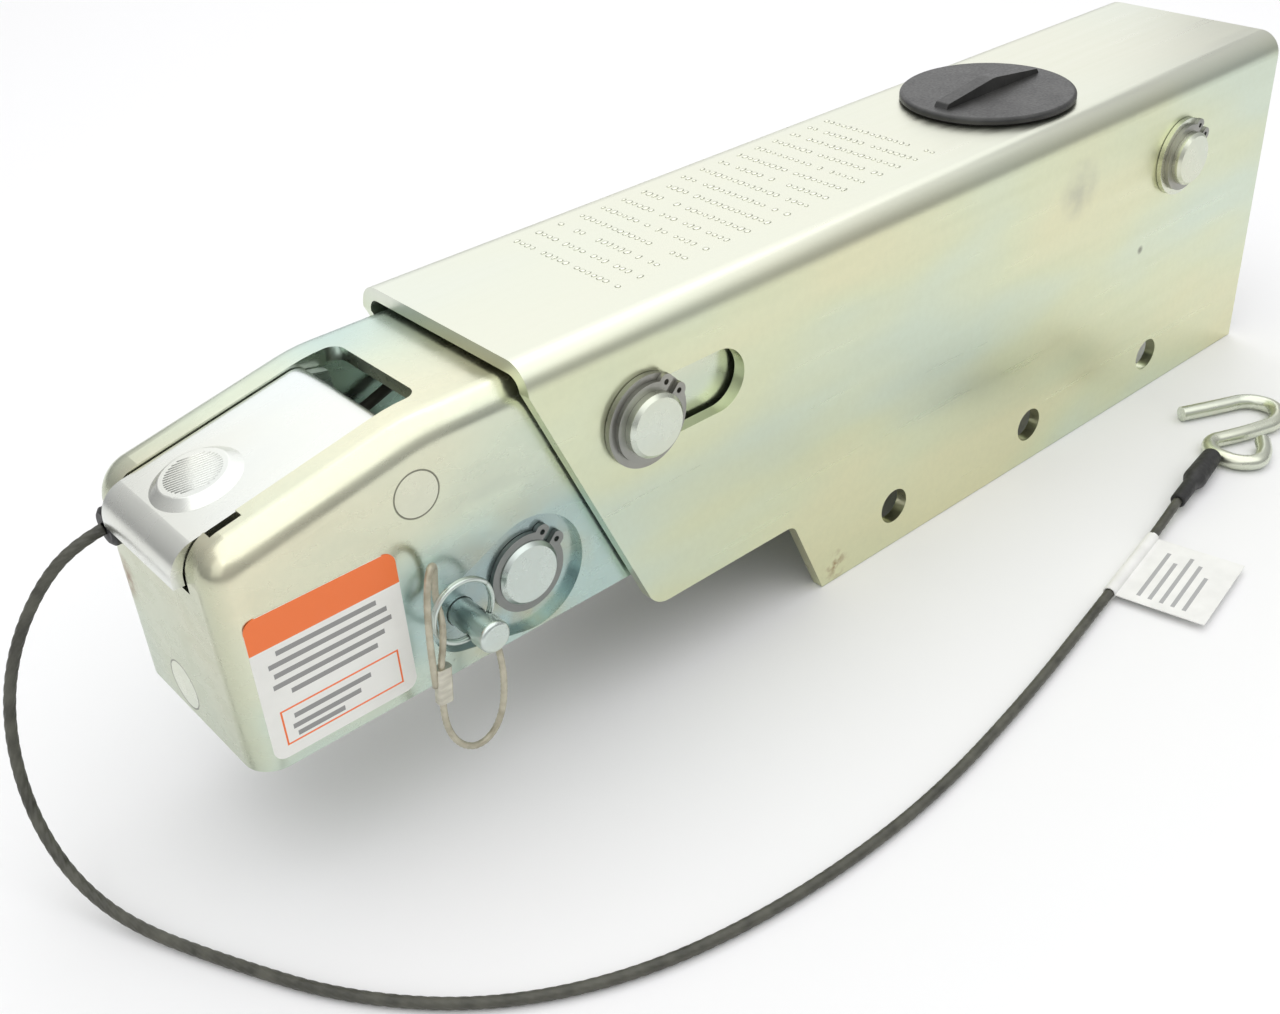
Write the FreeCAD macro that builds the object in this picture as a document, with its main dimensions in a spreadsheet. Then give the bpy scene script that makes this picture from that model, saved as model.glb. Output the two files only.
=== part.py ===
"""Surge brake actuator for a trailer tongue: a folded outer case in which the coupler slides.

Millimetres. +X points rearward along the trailer, +Z up, the mid-plane is Y = 0. The origin lies on the
plane of the case's bottom edges, straight below the front edge of the case's top.
"""
import FreeCAD
import Part
import math
import os

V = FreeCAD.Vector
doc = FreeCAD.newDocument("surge_brake_actuator")

# Driving dimensions; a value that starts with = follows the sizes that it names
SIZES = {
    # outer case, folded from one sheet
    "case_width": 88.9,
    "case_wall": 4.6,
    "case_length": 403.6,
    "case_height": 142.3,
    "case_bend": 9.5,
    "slide_gap": 1.75,
    "top_gap": 1.7,
    "case_slant_top_z": "=case_height - 9.3",
    "case_corner_x": 41.4,
    "case_corner_z": 35.4,
    "case_corner_radius": 9.0,
    "notch_top_x": 107.7,
    "notch_low_x": 122.9,
    "bolt_hole_radius": 7.14,
    "bolt_first_x": 162.7,
    "bolt_pitch": 84.0,
    "bolt_z": 17.6,
    # the two cross pins that guide the slide, with their washers and snap rings
    "pin_radius": 10.8,
    "pin_z": "=case_height - 33.7",
    "slide_pin_x": 41.6,
    "rear_pin_x": 334.3,
    "pin_proud": 7.4,
    "pin_chamfer": 1.2,
    "travel": 32.0,
    "slot_clearance": 0.3,
    "fixed_clearance": 0.05,
    "washer_radius": 15.8,
    "washer_thickness": 2.0,
    "washer_gap": 0.2,
    "ring_thickness": 1.6,
    "ring_gap": 0.1,
    "ring_width": 3.6,
    "groove_depth": 1.0,
    "lug_radius": 2.7,
    "lug_hole_radius": 0.95,
    "lug_direction": 45.0,
    "lug_spread": 15.0,
    # coupler, folded from one sheet, and its slide rails
    "coupler_width": "=case_width - 2 * case_wall - 2 * slide_gap",
    "coupler_wall": 4.6,
    "coupler_top_z": "=case_height - case_wall - top_gap",
    "coupler_low_z": 48.0,
    "coupler_bend": 9.5,
    "nose_x": -102.0,
    "nose_z": "=coupler_top_z - 14.5",
    "nose_radius": 13.0,
    "slope_start_x": -33.0,
    "slope_radius": 60.0,
    "slide_top_end_x": 145.0,
    "slide_low_end_x": 116.0,
    "rail_low_z": "=pin_z - 16.6",
    "rail_top_z": "=pin_z + 18.4",
    "rail_end_x": 358.0,
    "mouth_rear_x": -23.0,
    "mouth_half_width": "=handle_half_width + handle_side_gap",
    "mouth_corner": 4.5,
    "flap_top_z": "=nose_z - 15",
    "flap_corner": 9.0,
    "flap_corner_drop": 14.4,
    "flap_corner_rise": 1.8,
    "flap_seam": 0.8,
    "window_x": -89.0,
    "window_length": 10.0,
    "window_width": 3.6,
    "recess_depth": 3.0,
    "recess_pin_radius": 20.5,
    "recess_lock_radius": 12.5,
    "bridge_x": 118.0,
    "bridge_thickness": 6.0,
    "bridge_low_z": 60.0,
    "bridge_top_z": "=pin_z - 12.6",
    # ball socket, its rivet and the ball that it takes
    "ball_x": -65.0,
    "ball_z": 66.0,
    "ball_radius": 25.4,
    "ball_clearance": 0.3,
    "socket_wall": 4.0,
    "socket_flange_z": 61.5,
    "socket_rear_x": -43.0,
    "socket_tab_half_width": 25.0,
    "socket_tab_low_z": 49.0,
    "rivet_radius": 8.0,
    "rivet_y": 5.0,
    "rivet_z": 58.0,
    # jaw and its pivot pin
    "jaw_pin_radius": 11.0,
    "jaw_pin_x": -2.6,
    "jaw_pin_z": 69.0,
    "jaw_pin_proud": 0.4,
    "jaw_half_width": 14.0,
    "jaw_hub_radius": 17.0,
    "jaw_top_z": 60.5,
    "jaw_low_z": 49.0,
    "jaw_front_x": -52.0,
    "jaw_tip_round": 3.0,
    # latch handle and its pivot pin
    "handle_pin_radius": 7.27,
    "handle_pin_x": -37.5,
    "handle_pin_z": "=coupler_top_z - 20.8",
    "handle_half_width": 21.9,
    "handle_side_gap": 0.6,
    "handle_sink": 1.0,
    "handle_sheet": 3.4,
    "handle_rear_x": -33.0,
    "handle_rear_low_z": "=coupler_top_z - 9.5",
    "handle_lip_x": -105.8,
    "handle_lip_z": "=nose_z - 12.1",
    "handle_roll": 10.0,
    "ear_radius": 11.0,
    "ear_front_x": -86.0,
    "pad_x": -83.5,
    "pad_y": 1.5,
    "pad_radius": 14.0,
    "pad_top_radius": 10.6,
    "pad_height": 2.4,
    "running_clearance": 0.05,
    # lock pin with its ring
    "lock_radius": 4.75,
    "lock_x": -27.8,
    "lock_z": 66.7,
    "lock_outer_y": -54.0,
    "lock_inner_y": 43.0,
    "lock_cap_radius": 5.4,
    "lock_cap_length": 6.0,
    "lock_clearance": 0.3,
    "lock_hole_y": -45.5,
    "lock_hole_radius": 2.1,
    "pin_ring_radius": 10.5,
    "pin_ring_wire": 1.2,
    "pin_ring_lean": 30.0,
    # lanyard of the lock pin
    "lanyard_radius": 1.1,
    "ferrule_width": 5.2,
    "ferrule_depth": 3.6,
    "ferrule_length": 12.4,
    "ferrule_x": -46.0,
    "ferrule_y": -49.2,
    "ferrule_z": 57.0,
    "ferrule_lean": 6.0,
    "ferrule_round": 1.2,
    # breakaway cable and what is on it
    "cable_radius": 1.85,
    "grommet_y": "=coupler_width / 2 - 9.1",
    "grommet_z": "=flap_top_z - 2",
    "grommet_flange_radius": 6.2,
    "grommet_flange": 2.2,
    "grommet_neck_radius": 4.6,
    "sleeve_length": 39.8,
    "sleeve_narrow_radius": 3.0,
    "sleeve_wide_radius": 4.6,
    "hook_wire_radius": 3.2,
    "flag_wrap": 0.15,
    "flag_length": 42.0,
    "flag_place": 0.202,
    "flag_width": 33.0,
    "flag_thickness": 0.4,
    # label on the coupler's side
    "label_x": -96.5,
    "label_length": 48.5,
    "label_low_z": 51.5,
    "label_height": 50.0,
    "label_corner": 4.0,
    "label_thickness": 0.3,
    # filler cap and gasket
    "cap_x": 262.4,
    "cap_radius": 34.1,
    "cap_flange": 2.4,
    "cap_rib_height": 5.2,
    "cap_rib_width": 6.0,
    "cap_rib_half": 29.3,
    "cap_rib_top_half": 27.3,
    "cap_rib_end_height": 1.8,
    "cap_rib_round": 20.0,
    "cap_stem_low_z": "=case_height - 12.3",
    "cap_stem_chamfer": 2.0,
    "gasket_thickness": 1.0,
    "gasket_radius": 32.0,
    # master cylinder
    "neck_radius": 24.0,
    "neck_bore_radius": 20.0,
    "neck_low_z": "=case_height - 18.3",
    "cylinder_y": -13.0,
    "cylinder_z": "=pin_z - 27.6",
    "cylinder_radius": 17.0,
    "cylinder_front_x": 196.0,
    "cylinder_rear_x": 318.0,
    "bore_radius": 12.7,
    "bore_end_x": 300.0,
    "reservoir_front_x": 226.0,
    "reservoir_length": 74.0,
    "reservoir_low_z": "=pin_z - 12.6",
    "reservoir_top_z": "=case_height - 11.3",
    "reservoir_wall": 4.0,
    "lug_half_width": 7.0,
    "lug_outer_radius": 15.5,
    "outlet_radius": 5.6,
    "outlet_length": 16.0,
    "outlet_tip_radius": 4.2,
    "line_port_radius": 2.4,
    "inner_port_radius": 1.8,
    "feed_port_radius": 1.5,
    # push rod and piston
    "rod_radius": 6.35,
    "rod_front_x": 104.0,
    "rod_collar_radius": 10.0,
    "rod_collar_length": 6.0,
    "rod_seat_x": 210.0,
    "piston_front_x": 202.0,
    "piston_length": 26.0,
    "seal_width": 4.0,
    "seal_depth": 2.5,
    "retainer_thickness": 1.6,
    "retainer_bore": 8.6,
    # damper between the two cross pins
    "damper_y": "=inner_cable_y - 10",
    "damper_radius": 11.5,
    "damper_wall": 2.5,
    "damper_front_x": 150.0,
    "damper_rear_x": 312.0,
    "damper_rod_radius": 5.0,
    "damper_rod_end_x": 225.0,
    "damper_eye_radius": 15.5,
    "damper_eye_half_width": 6.0,
    # breakaway lever and reset pawl with their pins
    "lever_pin_radius": 4.0,
    "lever_x": 92.0,
    "lever_z": "=pin_z - 11.6",
    "lever_hub_radius": 6.2,
    "lever_arm_half": 4.0,
    "lever_nose_gap": 0.3,
    "lever_nose_round": 4.0,
    "lever_far_y": "=coupler_width / 2 - coupler_wall - lever_side_gap",
    "lever_stem_width": 6.4,
    "lever_side_gap": 0.3,
    "fork_near_y": "=inner_cable_y - 5.4",
    "fork_low_z": "=inner_cable_z - 6.4",
    "fork_top_z": "=inner_cable_z + 3.5",
    "fork_slot_z": "=inner_cable_z - 3.8",
    "fork_slot_clearance": 0.3,
    "inner_cable_y": "=lever_far_y - 5.2",
    "inner_cable_z": "=coupler_top_z - 12",
    "nipple_radius": 4.4,
    "nipple_length": 7.4,
    "nipple_gap": 0.4,
    "pawl_pin_radius": 3.0,
    "pawl_x": 106.0,
    "pawl_z": 66.0,
    "pawl_hub_radius": 6.0,
    "pawl_half_width": 6.0,
    "pawl_sheet": 4.0,
    "pawl_arm_z": 56.0,
    "pawl_tab_x": 66.0,
    "pawl_tab_low_z": 45.0,
}
sheet = doc.addObject("Spreadsheet::Sheet", "Sizes")
for row, alias in enumerate(SIZES, start=1):
    sheet.set(f"A{row}", alias.replace("_", " "))
    sheet.setAlias(f"B{row}", alias)
for row, value in enumerate(SIZES.values(), start=1):
    sheet.set(f"B{row}", str(value))
doc.recompute()


class SheetReader:
    """Gives each size of the sheet as a number, by its name."""

    def __getattr__(self, alias):
        return float(sheet.get(alias))


d = SheetReader()
nodes = {}

# Planes of the frame: how a sketch turns onto each, and the direction it is pushed along
PLANES = {
    "side": (FreeCAD.Rotation(V(1, 0, 0), V(0, 0, 1), V(0, -1, 0)), V(0, 1, 0)),
    "section": (FreeCAD.Rotation(V(0, 1, 0), V(0, 0, 1), V(1, 0, 0)), V(1, 0, 0)),
    "plan": (FreeCAD.Rotation(), V(0, 0, 1)),
}
# Axes of turned pieces: how the sketch (radius, distance along the axis) turns onto each
TURNS = {
    "X": (FreeCAD.Rotation(V(0, 0, 1), V(1, 0, 0), V(0, 1, 0)), V(1, 0, 0)),
    "Y": (FreeCAD.Rotation(V(1, 0, 0), V(0, 1, 0), V(0, 0, 1)), V(0, 1, 0)),
    "Z": (FreeCAD.Rotation(V(1, 0, 0), V(0, 0, 1), V(0, -1, 0)), V(0, 0, 1)),
}


def outline(*corners):
    """Closed outline of straight sides; a corner given as (a, b, radius) is rounded with an arc."""
    entries = []
    leaves = []
    edges = []
    count = len(corners)
    for index, corner in enumerate(corners):
        point = V(corner[0], corner[1], 0)
        radius = corner[2] if len(corner) > 2 else 0.0
        entries.append(point)
        leaves.append(point)
        if radius > 0:
            before = V(*corners[index - 1][:2], 0) - point
            after = V(*corners[(index + 1) % count][:2], 0) - point
            before.normalize()
            after.normalize()
            half = before.getAngle(after) / 2
            bisector = before + after
            bisector.normalize()
            centre = point + bisector * (radius / math.sin(half))
            entries[index] = point + before * (radius / math.tan(half))
            leaves[index] = point + after * (radius / math.tan(half))
            edges.append(Part.Arc(entries[index], centre - bisector * radius, leaves[index]))
    for index in range(count):
        end = entries[(index + 1) % count]
        if leaves[index].distanceToPoint(end) > 1e-6:
            edges.append(Part.LineSegment(leaves[index], end))
    return edges


def drop_shape(a1, b1, radius1, a2, b2, radius2):
    """Outline round two circles and their common tangents, the first circle being the larger."""
    along = math.atan2(b2 - b1, a2 - a1)
    lean = math.acos((radius1 - radius2) / math.hypot(a2 - a1, b2 - b1))

    def at(a, b, radius, angle):
        return V(a + radius * math.cos(angle), b + radius * math.sin(angle), 0)

    big_up = at(a1, b1, radius1, along + lean)
    big_down = at(a1, b1, radius1, along - lean)
    small_up = at(a2, b2, radius2, along + lean)
    small_down = at(a2, b2, radius2, along - lean)
    return [
        Part.Arc(big_up, at(a1, b1, radius1, along + math.pi), big_down),
        Part.LineSegment(big_down, small_down),
        Part.Arc(small_down, at(a2, b2, radius2, along), small_up),
        Part.LineSegment(small_up, big_up),
    ]


def sketched(name, edges, placement):
    """Sketch of the given edges at a placement."""
    sketch = doc.addObject("Sketcher::SketchObject", name + "_sketch")
    sketch.addGeometry(edges, False)
    sketch.Placement = placement
    return sketch


def extrude(name, plane, edges, start, length):
    """Outline on a plane of the frame, pushed along its normal from start by a length expression."""
    turn, normal = PLANES[plane]
    solid = doc.addObject("Part::Extrusion", name)
    solid.Base = sketched(name, edges, FreeCAD.Placement(normal * start, turn))
    solid.DirMode = "Custom"
    solid.Dir = normal
    solid.Solid = True
    solid.setExpression("LengthFwd", length)
    return solid


def across(name, edges, half_width):
    """Side outline pushed to both sides of the mid-plane; half_width is an expression."""
    solid = extrude(name, "side", edges, 0.0, f"2 * ({half_width})")
    solid.Symmetric = True
    return solid


def turned(name, axis, base, edges):
    """Outline of radius against distance along an axis, turned about that axis through base."""
    turn, direction = TURNS[axis]
    solid = doc.addObject("Part::Revolution", name)
    solid.Source = sketched(name, edges, FreeCAD.Placement(base, turn))
    solid.Axis = direction
    solid.Base = base
    solid.Angle = 360
    solid.Solid = True
    return solid


def rod(name, axis, base, radius, low, high):
    """Plain round rod or hole along an axis, its radius an expression."""
    solid = doc.addObject("Part::Cylinder", name)
    direction = TURNS[axis][1]
    solid.setExpression("Radius", radius)
    solid.Height = high - low
    turn = FreeCAD.Rotation(V(0, 0, 1), direction)
    solid.Placement = FreeCAD.Placement(base + direction * low, turn)
    return solid


def block(name, low, high):
    """Plain block between two corners."""
    solid = doc.addObject("Part::Box", name)
    solid.Length = high[0] - low[0]
    solid.Width = high[1] - low[1]
    solid.Height = high[2] - low[2]
    solid.Placement = FreeCAD.Placement(V(*low), FreeCAD.Rotation())
    return solid


def fuse(name, *pieces):
    """Several solids joined into one."""
    solid = doc.addObject("Part::MultiFuse", name)
    solid.Shapes = list(pieces)
    solid.Refine = True
    return solid


def cut(name, base, *tools):
    """A solid with one or more others taken out of it."""
    solid = doc.addObject("Part::Cut", name)
    solid.Base = base
    solid.Tool = tools[0] if len(tools) == 1 else fuse(name + "_tools", *tools)
    solid.Refine = True
    return solid


def common(name, *pieces):
    """What several solids share."""
    solid = doc.addObject("Part::MultiCommon", name)
    solid.Shapes = list(pieces)
    solid.Refine = True
    return solid


def group(name, *pieces):
    """Separate like solids kept in one node."""
    compound = doc.addObject("Part::Compound", name)
    compound.Links = list(pieces)
    return compound


def node(label, solid):
    """Names a finished sub-part."""
    solid.Label = label
    nodes[label] = solid
    return solid


def ring_profile(inner, outer, low, high):
    """Section of a plain ring, as radius against distance along its axis."""
    return outline((inner, low), (outer, low), (outer, high), (inner, high))


# Outer case: inverted U folded from one sheet, trimmed to its side outline
case_half = d.case_width / 2
case_inner = case_half - d.case_wall
case_bend_inner = d.case_bend - d.case_wall
fold = extrude("case_fold", "section", outline(
    (-case_half, 0.0), (-case_half, d.case_height, d.case_bend), (case_half, d.case_height, d.case_bend),
    (case_half, 0.0), (case_inner, 0.0), (case_inner, d.case_height - d.case_wall, case_bend_inner),
    (-case_inner, d.case_height - d.case_wall, case_bend_inner), (-case_inner, 0.0)),
    0.0, "Sizes.case_length")
trim = across("case_trim", outline(
    (0.0, d.case_height + d.case_wall), (0.0, d.case_slant_top_z),
    (d.case_corner_x, d.case_corner_z, d.case_corner_radius), (d.notch_top_x, d.case_corner_z, d.case_wall),
    (d.notch_low_x, 0.0), (d.case_length, 0.0), (d.case_length, d.case_height + d.case_wall)),
    "Sizes.case_width")
folded_case = common("case_trimmed", fold, trim)


def slot(name, front_x, rear_x, half_width):
    """Long hole for a cross pin between two end centres."""
    radius = d.pin_radius + d.slot_clearance
    return across(name, outline(
        (front_x - radius, d.pin_z - radius, radius), (rear_x + radius, d.pin_z - radius, radius),
        (rear_x + radius, d.pin_z + radius, radius), (front_x - radius, d.pin_z + radius, radius)),
        half_width)


case_slot = slot("case_slot", d.slide_pin_x - d.slot_clearance,
                 d.slide_pin_x + d.travel + d.slot_clearance, "Sizes.case_width")
case_pin_hole = rod("case_pin_hole", "Y", V(d.rear_pin_x, 0, d.pin_z),
                    "Sizes.pin_radius + Sizes.fixed_clearance", -d.case_width, d.case_width)
bolt_holes = [
    rod(f"bolt_hole_{index}", "Y", V(d.bolt_first_x + index * d.bolt_pitch, 0, d.bolt_z),
        "Sizes.bolt_hole_radius", -d.case_width, d.case_width)
    for index in range(3)
]
filler_hole = rod("filler_hole", "Z", V(d.cap_x, 0, 0), "Sizes.neck_radius + Sizes.slot_clearance",
                  d.case_height - 2 * d.case_wall, d.case_height + d.case_wall)
node("outer_case", cut("outer_case", folded_case, case_slot, case_pin_hole, filler_hole, *bolt_holes))


def cross_pin(name, x, z, radius, half_length, groove_y):
    """Round pin across the part, chamfered at its ends, with a snap ring groove near each end."""
    groove = radius - d.groove_depth
    groove_end = groove_y + d.ring_thickness + d.ring_gap
    chamfer = d.pin_chamfer
    profile = outline(
        (0.0, -half_length), (radius - chamfer, -half_length), (radius, chamfer - half_length),
        (radius, -groove_end), (groove, -groove_end), (groove, -groove_y), (radius, -groove_y),
        (radius, groove_y), (groove, groove_y), (groove, groove_end), (radius, groove_end),
        (radius, half_length - chamfer), (radius - chamfer, half_length), (0.0, half_length))
    return turned(name, "Y", V(x, 0, z), profile)


def washer_pair(name, x, z, inner, outer, inner_y):
    """Two washers, one on each side of the part."""
    pair = [
        turned(f"{name}_{side}", "Y", V(x, 0, z), ring_profile(inner, outer, *sorted(
            (sign * inner_y, sign * (inner_y + d.washer_thickness)))))
        for side, sign in (("near", -1), ("far", 1))
    ]
    return group(name, *pair)


def snap_ring(name, x, z, radius, low, high):
    """Open ring in a pin's groove, with a drilled lug at each end of its gap."""
    inner = radius - d.groove_depth + d.ring_gap
    outer = inner + d.ring_width
    body = turned(name + "_body", "Y", V(x, 0, z), ring_profile(inner, outer, low, high))
    lugs = []
    holes = []
    for index, turn in enumerate((-d.lug_spread, d.lug_spread)):
        angle = math.radians(d.lug_direction + turn)
        place = V(x + outer * math.cos(angle), 0, z + outer * math.sin(angle))
        lugs.append(rod(f"{name}_lug_{index}", "Y", place, "Sizes.lug_radius", low, high))
        holes.append(rod(f"{name}_hole_{index}", "Y", place, "Sizes.lug_hole_radius",
                         low - d.ring_thickness, high + d.ring_thickness))
    lugged = fuse(name + "_lugged", body, *lugs)
    bore = rod(name + "_bore", "Y", V(x, 0, z), f"{inner}", low - d.ring_thickness, high + d.ring_thickness)
    gap_half = outer * math.sin(math.radians(d.lug_spread)) - d.lug_radius * 0.72
    gap = block(name + "_gap", (0.0, low - d.ring_thickness, -gap_half),
                (outer * 2, high + d.ring_thickness, gap_half))
    gap.Placement = FreeCAD.Placement(
        V(x, 0, z), FreeCAD.Rotation(V(0, 1, 0), -d.lug_direction)).multiply(gap.Placement)
    return cut(name, lugged, bore, gap, *holes)


def snap_ring_pair(name, x, z, radius, inner_y):
    """Two snap rings, one on each side of the part."""
    pair = [
        snap_ring(f"{name}_{side}", x, z, radius, *sorted(
            (sign * inner_y, sign * (inner_y + d.ring_thickness))))
        for side, sign in (("near", -1), ("far", 1))
    ]
    return group(name, *pair)


# Cross pins of the slide: the front one moves with the coupler, the rear one is held by the case
pin_half = case_half + d.pin_proud
washer_y = case_half + d.washer_gap
groove_y = washer_y + d.washer_thickness
ring_y = groove_y + d.ring_gap / 2
washer_bore = d.pin_radius + d.fixed_clearance
for label, pin_x in (("slide_pin", d.slide_pin_x), ("rear_pin", d.rear_pin_x)):
    node(label, cross_pin(label, pin_x, d.pin_z, d.pin_radius, pin_half, groove_y))
    node(label + "_washers", washer_pair(label + "_washers", pin_x, d.pin_z, washer_bore,
                                         d.washer_radius, washer_y))
    node(label + "_snap_rings", snap_ring_pair(label + "_snap_rings", pin_x, d.pin_z, d.pin_radius, ring_y))


# Coupler: nose, side walls, front flap and slide rails, folded from one sheet
coupler_half = d.coupler_width / 2
coupler_inner = coupler_half - d.coupler_wall
slope = (d.coupler_top_z - d.nose_z) / (d.slope_start_x - d.nose_x)
slope_drop = d.coupler_wall * (math.hypot(1, slope) - slope)


def slope_z(x):
    """Height of the coupler's sloping top at x."""
    return d.coupler_top_z - slope * (d.slope_start_x - x)


def round_long_edges(name, base, half_width, low_z, radius):
    """Rounds the edges where the top and the front meet the sides, at the given half width."""
    doc.recompute()
    picked = []
    for index, edge in enumerate(base.Shape.Edges, start=1):
        box = edge.BoundBox
        on_side = abs(abs(box.YMin) - half_width) < 1e-6 and box.YLength < 1e-6
        on_top = box.ZMin > d.rail_top_z or box.XMax < d.slope_start_x
        if on_side and on_top and box.ZMax > low_z + 1e-6:
            picked.append((index, radius, radius))
    rounded = doc.addObject("Part::Fillet", name)
    rounded.Base = base
    rounded.Edges = picked
    return rounded


coupler_blank = across("coupler_blank", outline(
    (d.nose_x, d.coupler_low_z), (d.slide_low_end_x, d.coupler_low_z),
    (d.slide_low_end_x + (d.rail_low_z - d.coupler_low_z) / 2, d.rail_low_z, d.coupler_bend),
    (d.rail_end_x, d.rail_low_z, d.coupler_bend), (d.rail_end_x, d.rail_top_z, d.coupler_bend),
    (d.slide_top_end_x + d.coupler_bend, d.rail_top_z), (d.slide_top_end_x, d.rail_top_z),
    (d.slide_top_end_x, d.coupler_top_z),
    (d.slope_start_x, d.coupler_top_z, d.slope_radius), (d.nose_x, d.nose_z, d.nose_radius)),
    "Sizes.coupler_width / 2")
coupler_outside = round_long_edges("coupler_outside", coupler_blank, coupler_half, d.coupler_low_z,
                                   d.coupler_bend)
hollow_front = d.nose_x + d.coupler_wall
hollow_low = d.coupler_low_z - d.coupler_wall
hollow_blank = across("hollow_blank", outline(
    (hollow_front, hollow_low), (d.rail_end_x + d.coupler_wall, hollow_low),
    (d.rail_end_x + d.coupler_wall, d.coupler_top_z - d.coupler_wall),
    (d.slope_start_x, d.coupler_top_z - d.coupler_wall, d.slope_radius - d.coupler_wall),
    (hollow_front, d.nose_z - slope_drop, d.nose_radius - d.coupler_wall)),
    "Sizes.coupler_width / 2 - Sizes.coupler_wall")
coupler_hollow = round_long_edges("coupler_hollow", hollow_blank, coupler_inner, hollow_low,
                                  d.coupler_bend - d.coupler_wall)
far_x = d.nose_x - d.nose_radius
above_z = d.coupler_top_z + d.coupler_wall
mouth_plan = extrude("mouth_plan", "plan", outline(
    (far_x, -d.mouth_half_width), (d.mouth_rear_x, -d.mouth_half_width, d.mouth_corner),
    (d.mouth_rear_x, d.mouth_half_width, d.mouth_corner), (far_x, d.mouth_half_width)),
    d.flap_top_z, "Sizes.coupler_top_z")
flap_corner_gap = extrude("flap_corner_gap", "section", outline(
    (d.mouth_half_width - d.flap_corner, d.flap_top_z + 1.0), (coupler_inner, d.flap_top_z + 1.0),
    (coupler_inner, d.flap_top_z - d.flap_corner_drop),
    (coupler_inner - d.flap_seam, d.flap_top_z - d.flap_corner_drop),
    (coupler_inner - d.flap_corner, d.flap_top_z - d.flap_corner_rise, d.flap_corner)),
    far_x, "Sizes.nose_radius + Sizes.coupler_wall")
flap_seam_gap = block("flap_seam_gap",
                      (far_x, coupler_inner - d.flap_seam, d.coupler_low_z - d.coupler_wall),
                      (d.nose_x + d.coupler_wall * 0.6, coupler_inner, d.flap_top_z))
window_front = d.window_x - d.window_length / 2
window = block("rim_window", (window_front, -d.mouth_half_width - d.window_width, d.flap_top_z),
               (window_front + d.window_length, -d.mouth_half_width, above_z))


def recess(name, grow, low, high):
    """Drop-shaped stamping round the jaw pin and the lock pin, between two distances across."""
    edges = drop_shape(d.jaw_pin_x, d.jaw_pin_z, d.recess_pin_radius + grow,
                       d.lock_x, d.lock_z, d.recess_lock_radius + grow)
    return extrude(name, "side", edges, low, f"{high - low}")


recess_floor = coupler_half - d.recess_depth
recess_cuts = [
    recess("recess_near", 0.0, -coupler_half - d.coupler_wall, -recess_floor),
    recess("recess_far", 0.0, recess_floor, coupler_half + d.coupler_wall),
]
recess_bosses = [
    recess("boss_near", d.recess_depth / 2, -coupler_inner, d.recess_depth - coupler_inner),
    recess("boss_far", d.recess_depth / 2, coupler_inner - d.recess_depth, coupler_inner),
]
bridge = across("bridge", outline(
    (d.bridge_x, d.bridge_low_z), (d.bridge_x + d.bridge_thickness, d.bridge_low_z),
    (d.bridge_x + d.bridge_thickness, d.bridge_top_z), (d.bridge_x, d.bridge_top_z)),
    "Sizes.coupler_width / 2")
open_shell = cut("coupler_open", coupler_outside, coupler_hollow, mouth_plan, flap_corner_gap,
                 flap_seam_gap, window)
braced_shell = fuse("coupler_braced", open_shell, bridge, *recess_bosses)


def wall_hole(name, x, z, radius):
    """Hole through both side walls of the coupler."""
    return rod(name, "Y", V(x, 0, z), radius, -d.coupler_width, d.coupler_width)


coupler_holes = [
    wall_hole("slide_pin_hole", d.slide_pin_x, d.pin_z, "Sizes.pin_radius + Sizes.fixed_clearance"),
    wall_hole("jaw_pin_hole", d.jaw_pin_x, d.jaw_pin_z, "Sizes.jaw_pin_radius + Sizes.fixed_clearance"),
    wall_hole("handle_pin_hole", d.handle_pin_x, d.handle_pin_z,
              "Sizes.handle_pin_radius + Sizes.fixed_clearance"),
    wall_hole("lock_pin_hole", d.lock_x, d.lock_z, "Sizes.lock_radius + Sizes.lock_clearance"),
    wall_hole("lever_pin_hole", d.lever_x, d.lever_z, "Sizes.lever_pin_radius + Sizes.fixed_clearance"),
    rod("rod_hole", "X", V(0, d.cylinder_y, d.cylinder_z), "Sizes.rod_radius + Sizes.running_clearance",
        d.bridge_x - d.bridge_thickness, d.bridge_x + 2 * d.bridge_thickness),
    rod("rivet_hole", "X", V(0, d.rivet_y, d.rivet_z), "Sizes.rivet_radius + Sizes.fixed_clearance",
        far_x, d.nose_x + 2 * d.coupler_wall),
    rod("cable_hole", "X", V(0, d.grommet_y, d.grommet_z),
        "Sizes.grommet_neck_radius + Sizes.fixed_clearance", far_x, d.nose_x + 2 * d.nose_radius),
    wall_hole("pawl_pin_hole", d.pawl_x, d.pawl_z, "Sizes.pawl_pin_radius + Sizes.fixed_clearance"),
]
rail_slot = slot("rail_slot", d.rear_pin_x - d.travel - d.slot_clearance,
                 d.rear_pin_x + d.slot_clearance, "Sizes.coupler_width")
node("coupler_body", cut("coupler_body", braced_shell, rail_slot, *recess_cuts, *coupler_holes))

# Ball socket: stamped dome with a flange welded between the walls and a tab behind the front flap
ball = V(d.ball_x, 0, d.ball_z)
socket_inner = d.ball_radius + d.ball_clearance
socket_outer = socket_inner + d.socket_wall
flange_top = d.socket_flange_z + d.socket_wall
dome_low = d.socket_flange_z - d.ball_z
dome_low_radius = math.sqrt(socket_outer ** 2 - dome_low ** 2)
dome = turned("socket_dome", "Z", ball, [
    Part.LineSegment(V(0, dome_low, 0), V(dome_low_radius, dome_low, 0)),
    Part.Arc(V(dome_low_radius, dome_low, 0),
             V(socket_outer * math.cos(math.pi / 4), socket_outer * math.sin(math.pi / 4), 0),
             V(0, socket_outer, 0)),
    Part.LineSegment(V(0, socket_outer, 0), V(0, dome_low, 0)),
])
flange_corner = d.coupler_bend - d.coupler_wall + d.ball_clearance
socket_flange = extrude("socket_flange", "plan", outline(
    (hollow_front, -coupler_inner, flange_corner), (d.socket_rear_x, -coupler_inner),
    (d.socket_rear_x, coupler_inner), (hollow_front, coupler_inner, flange_corner)),
    d.socket_flange_z, "Sizes.socket_wall")
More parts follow.
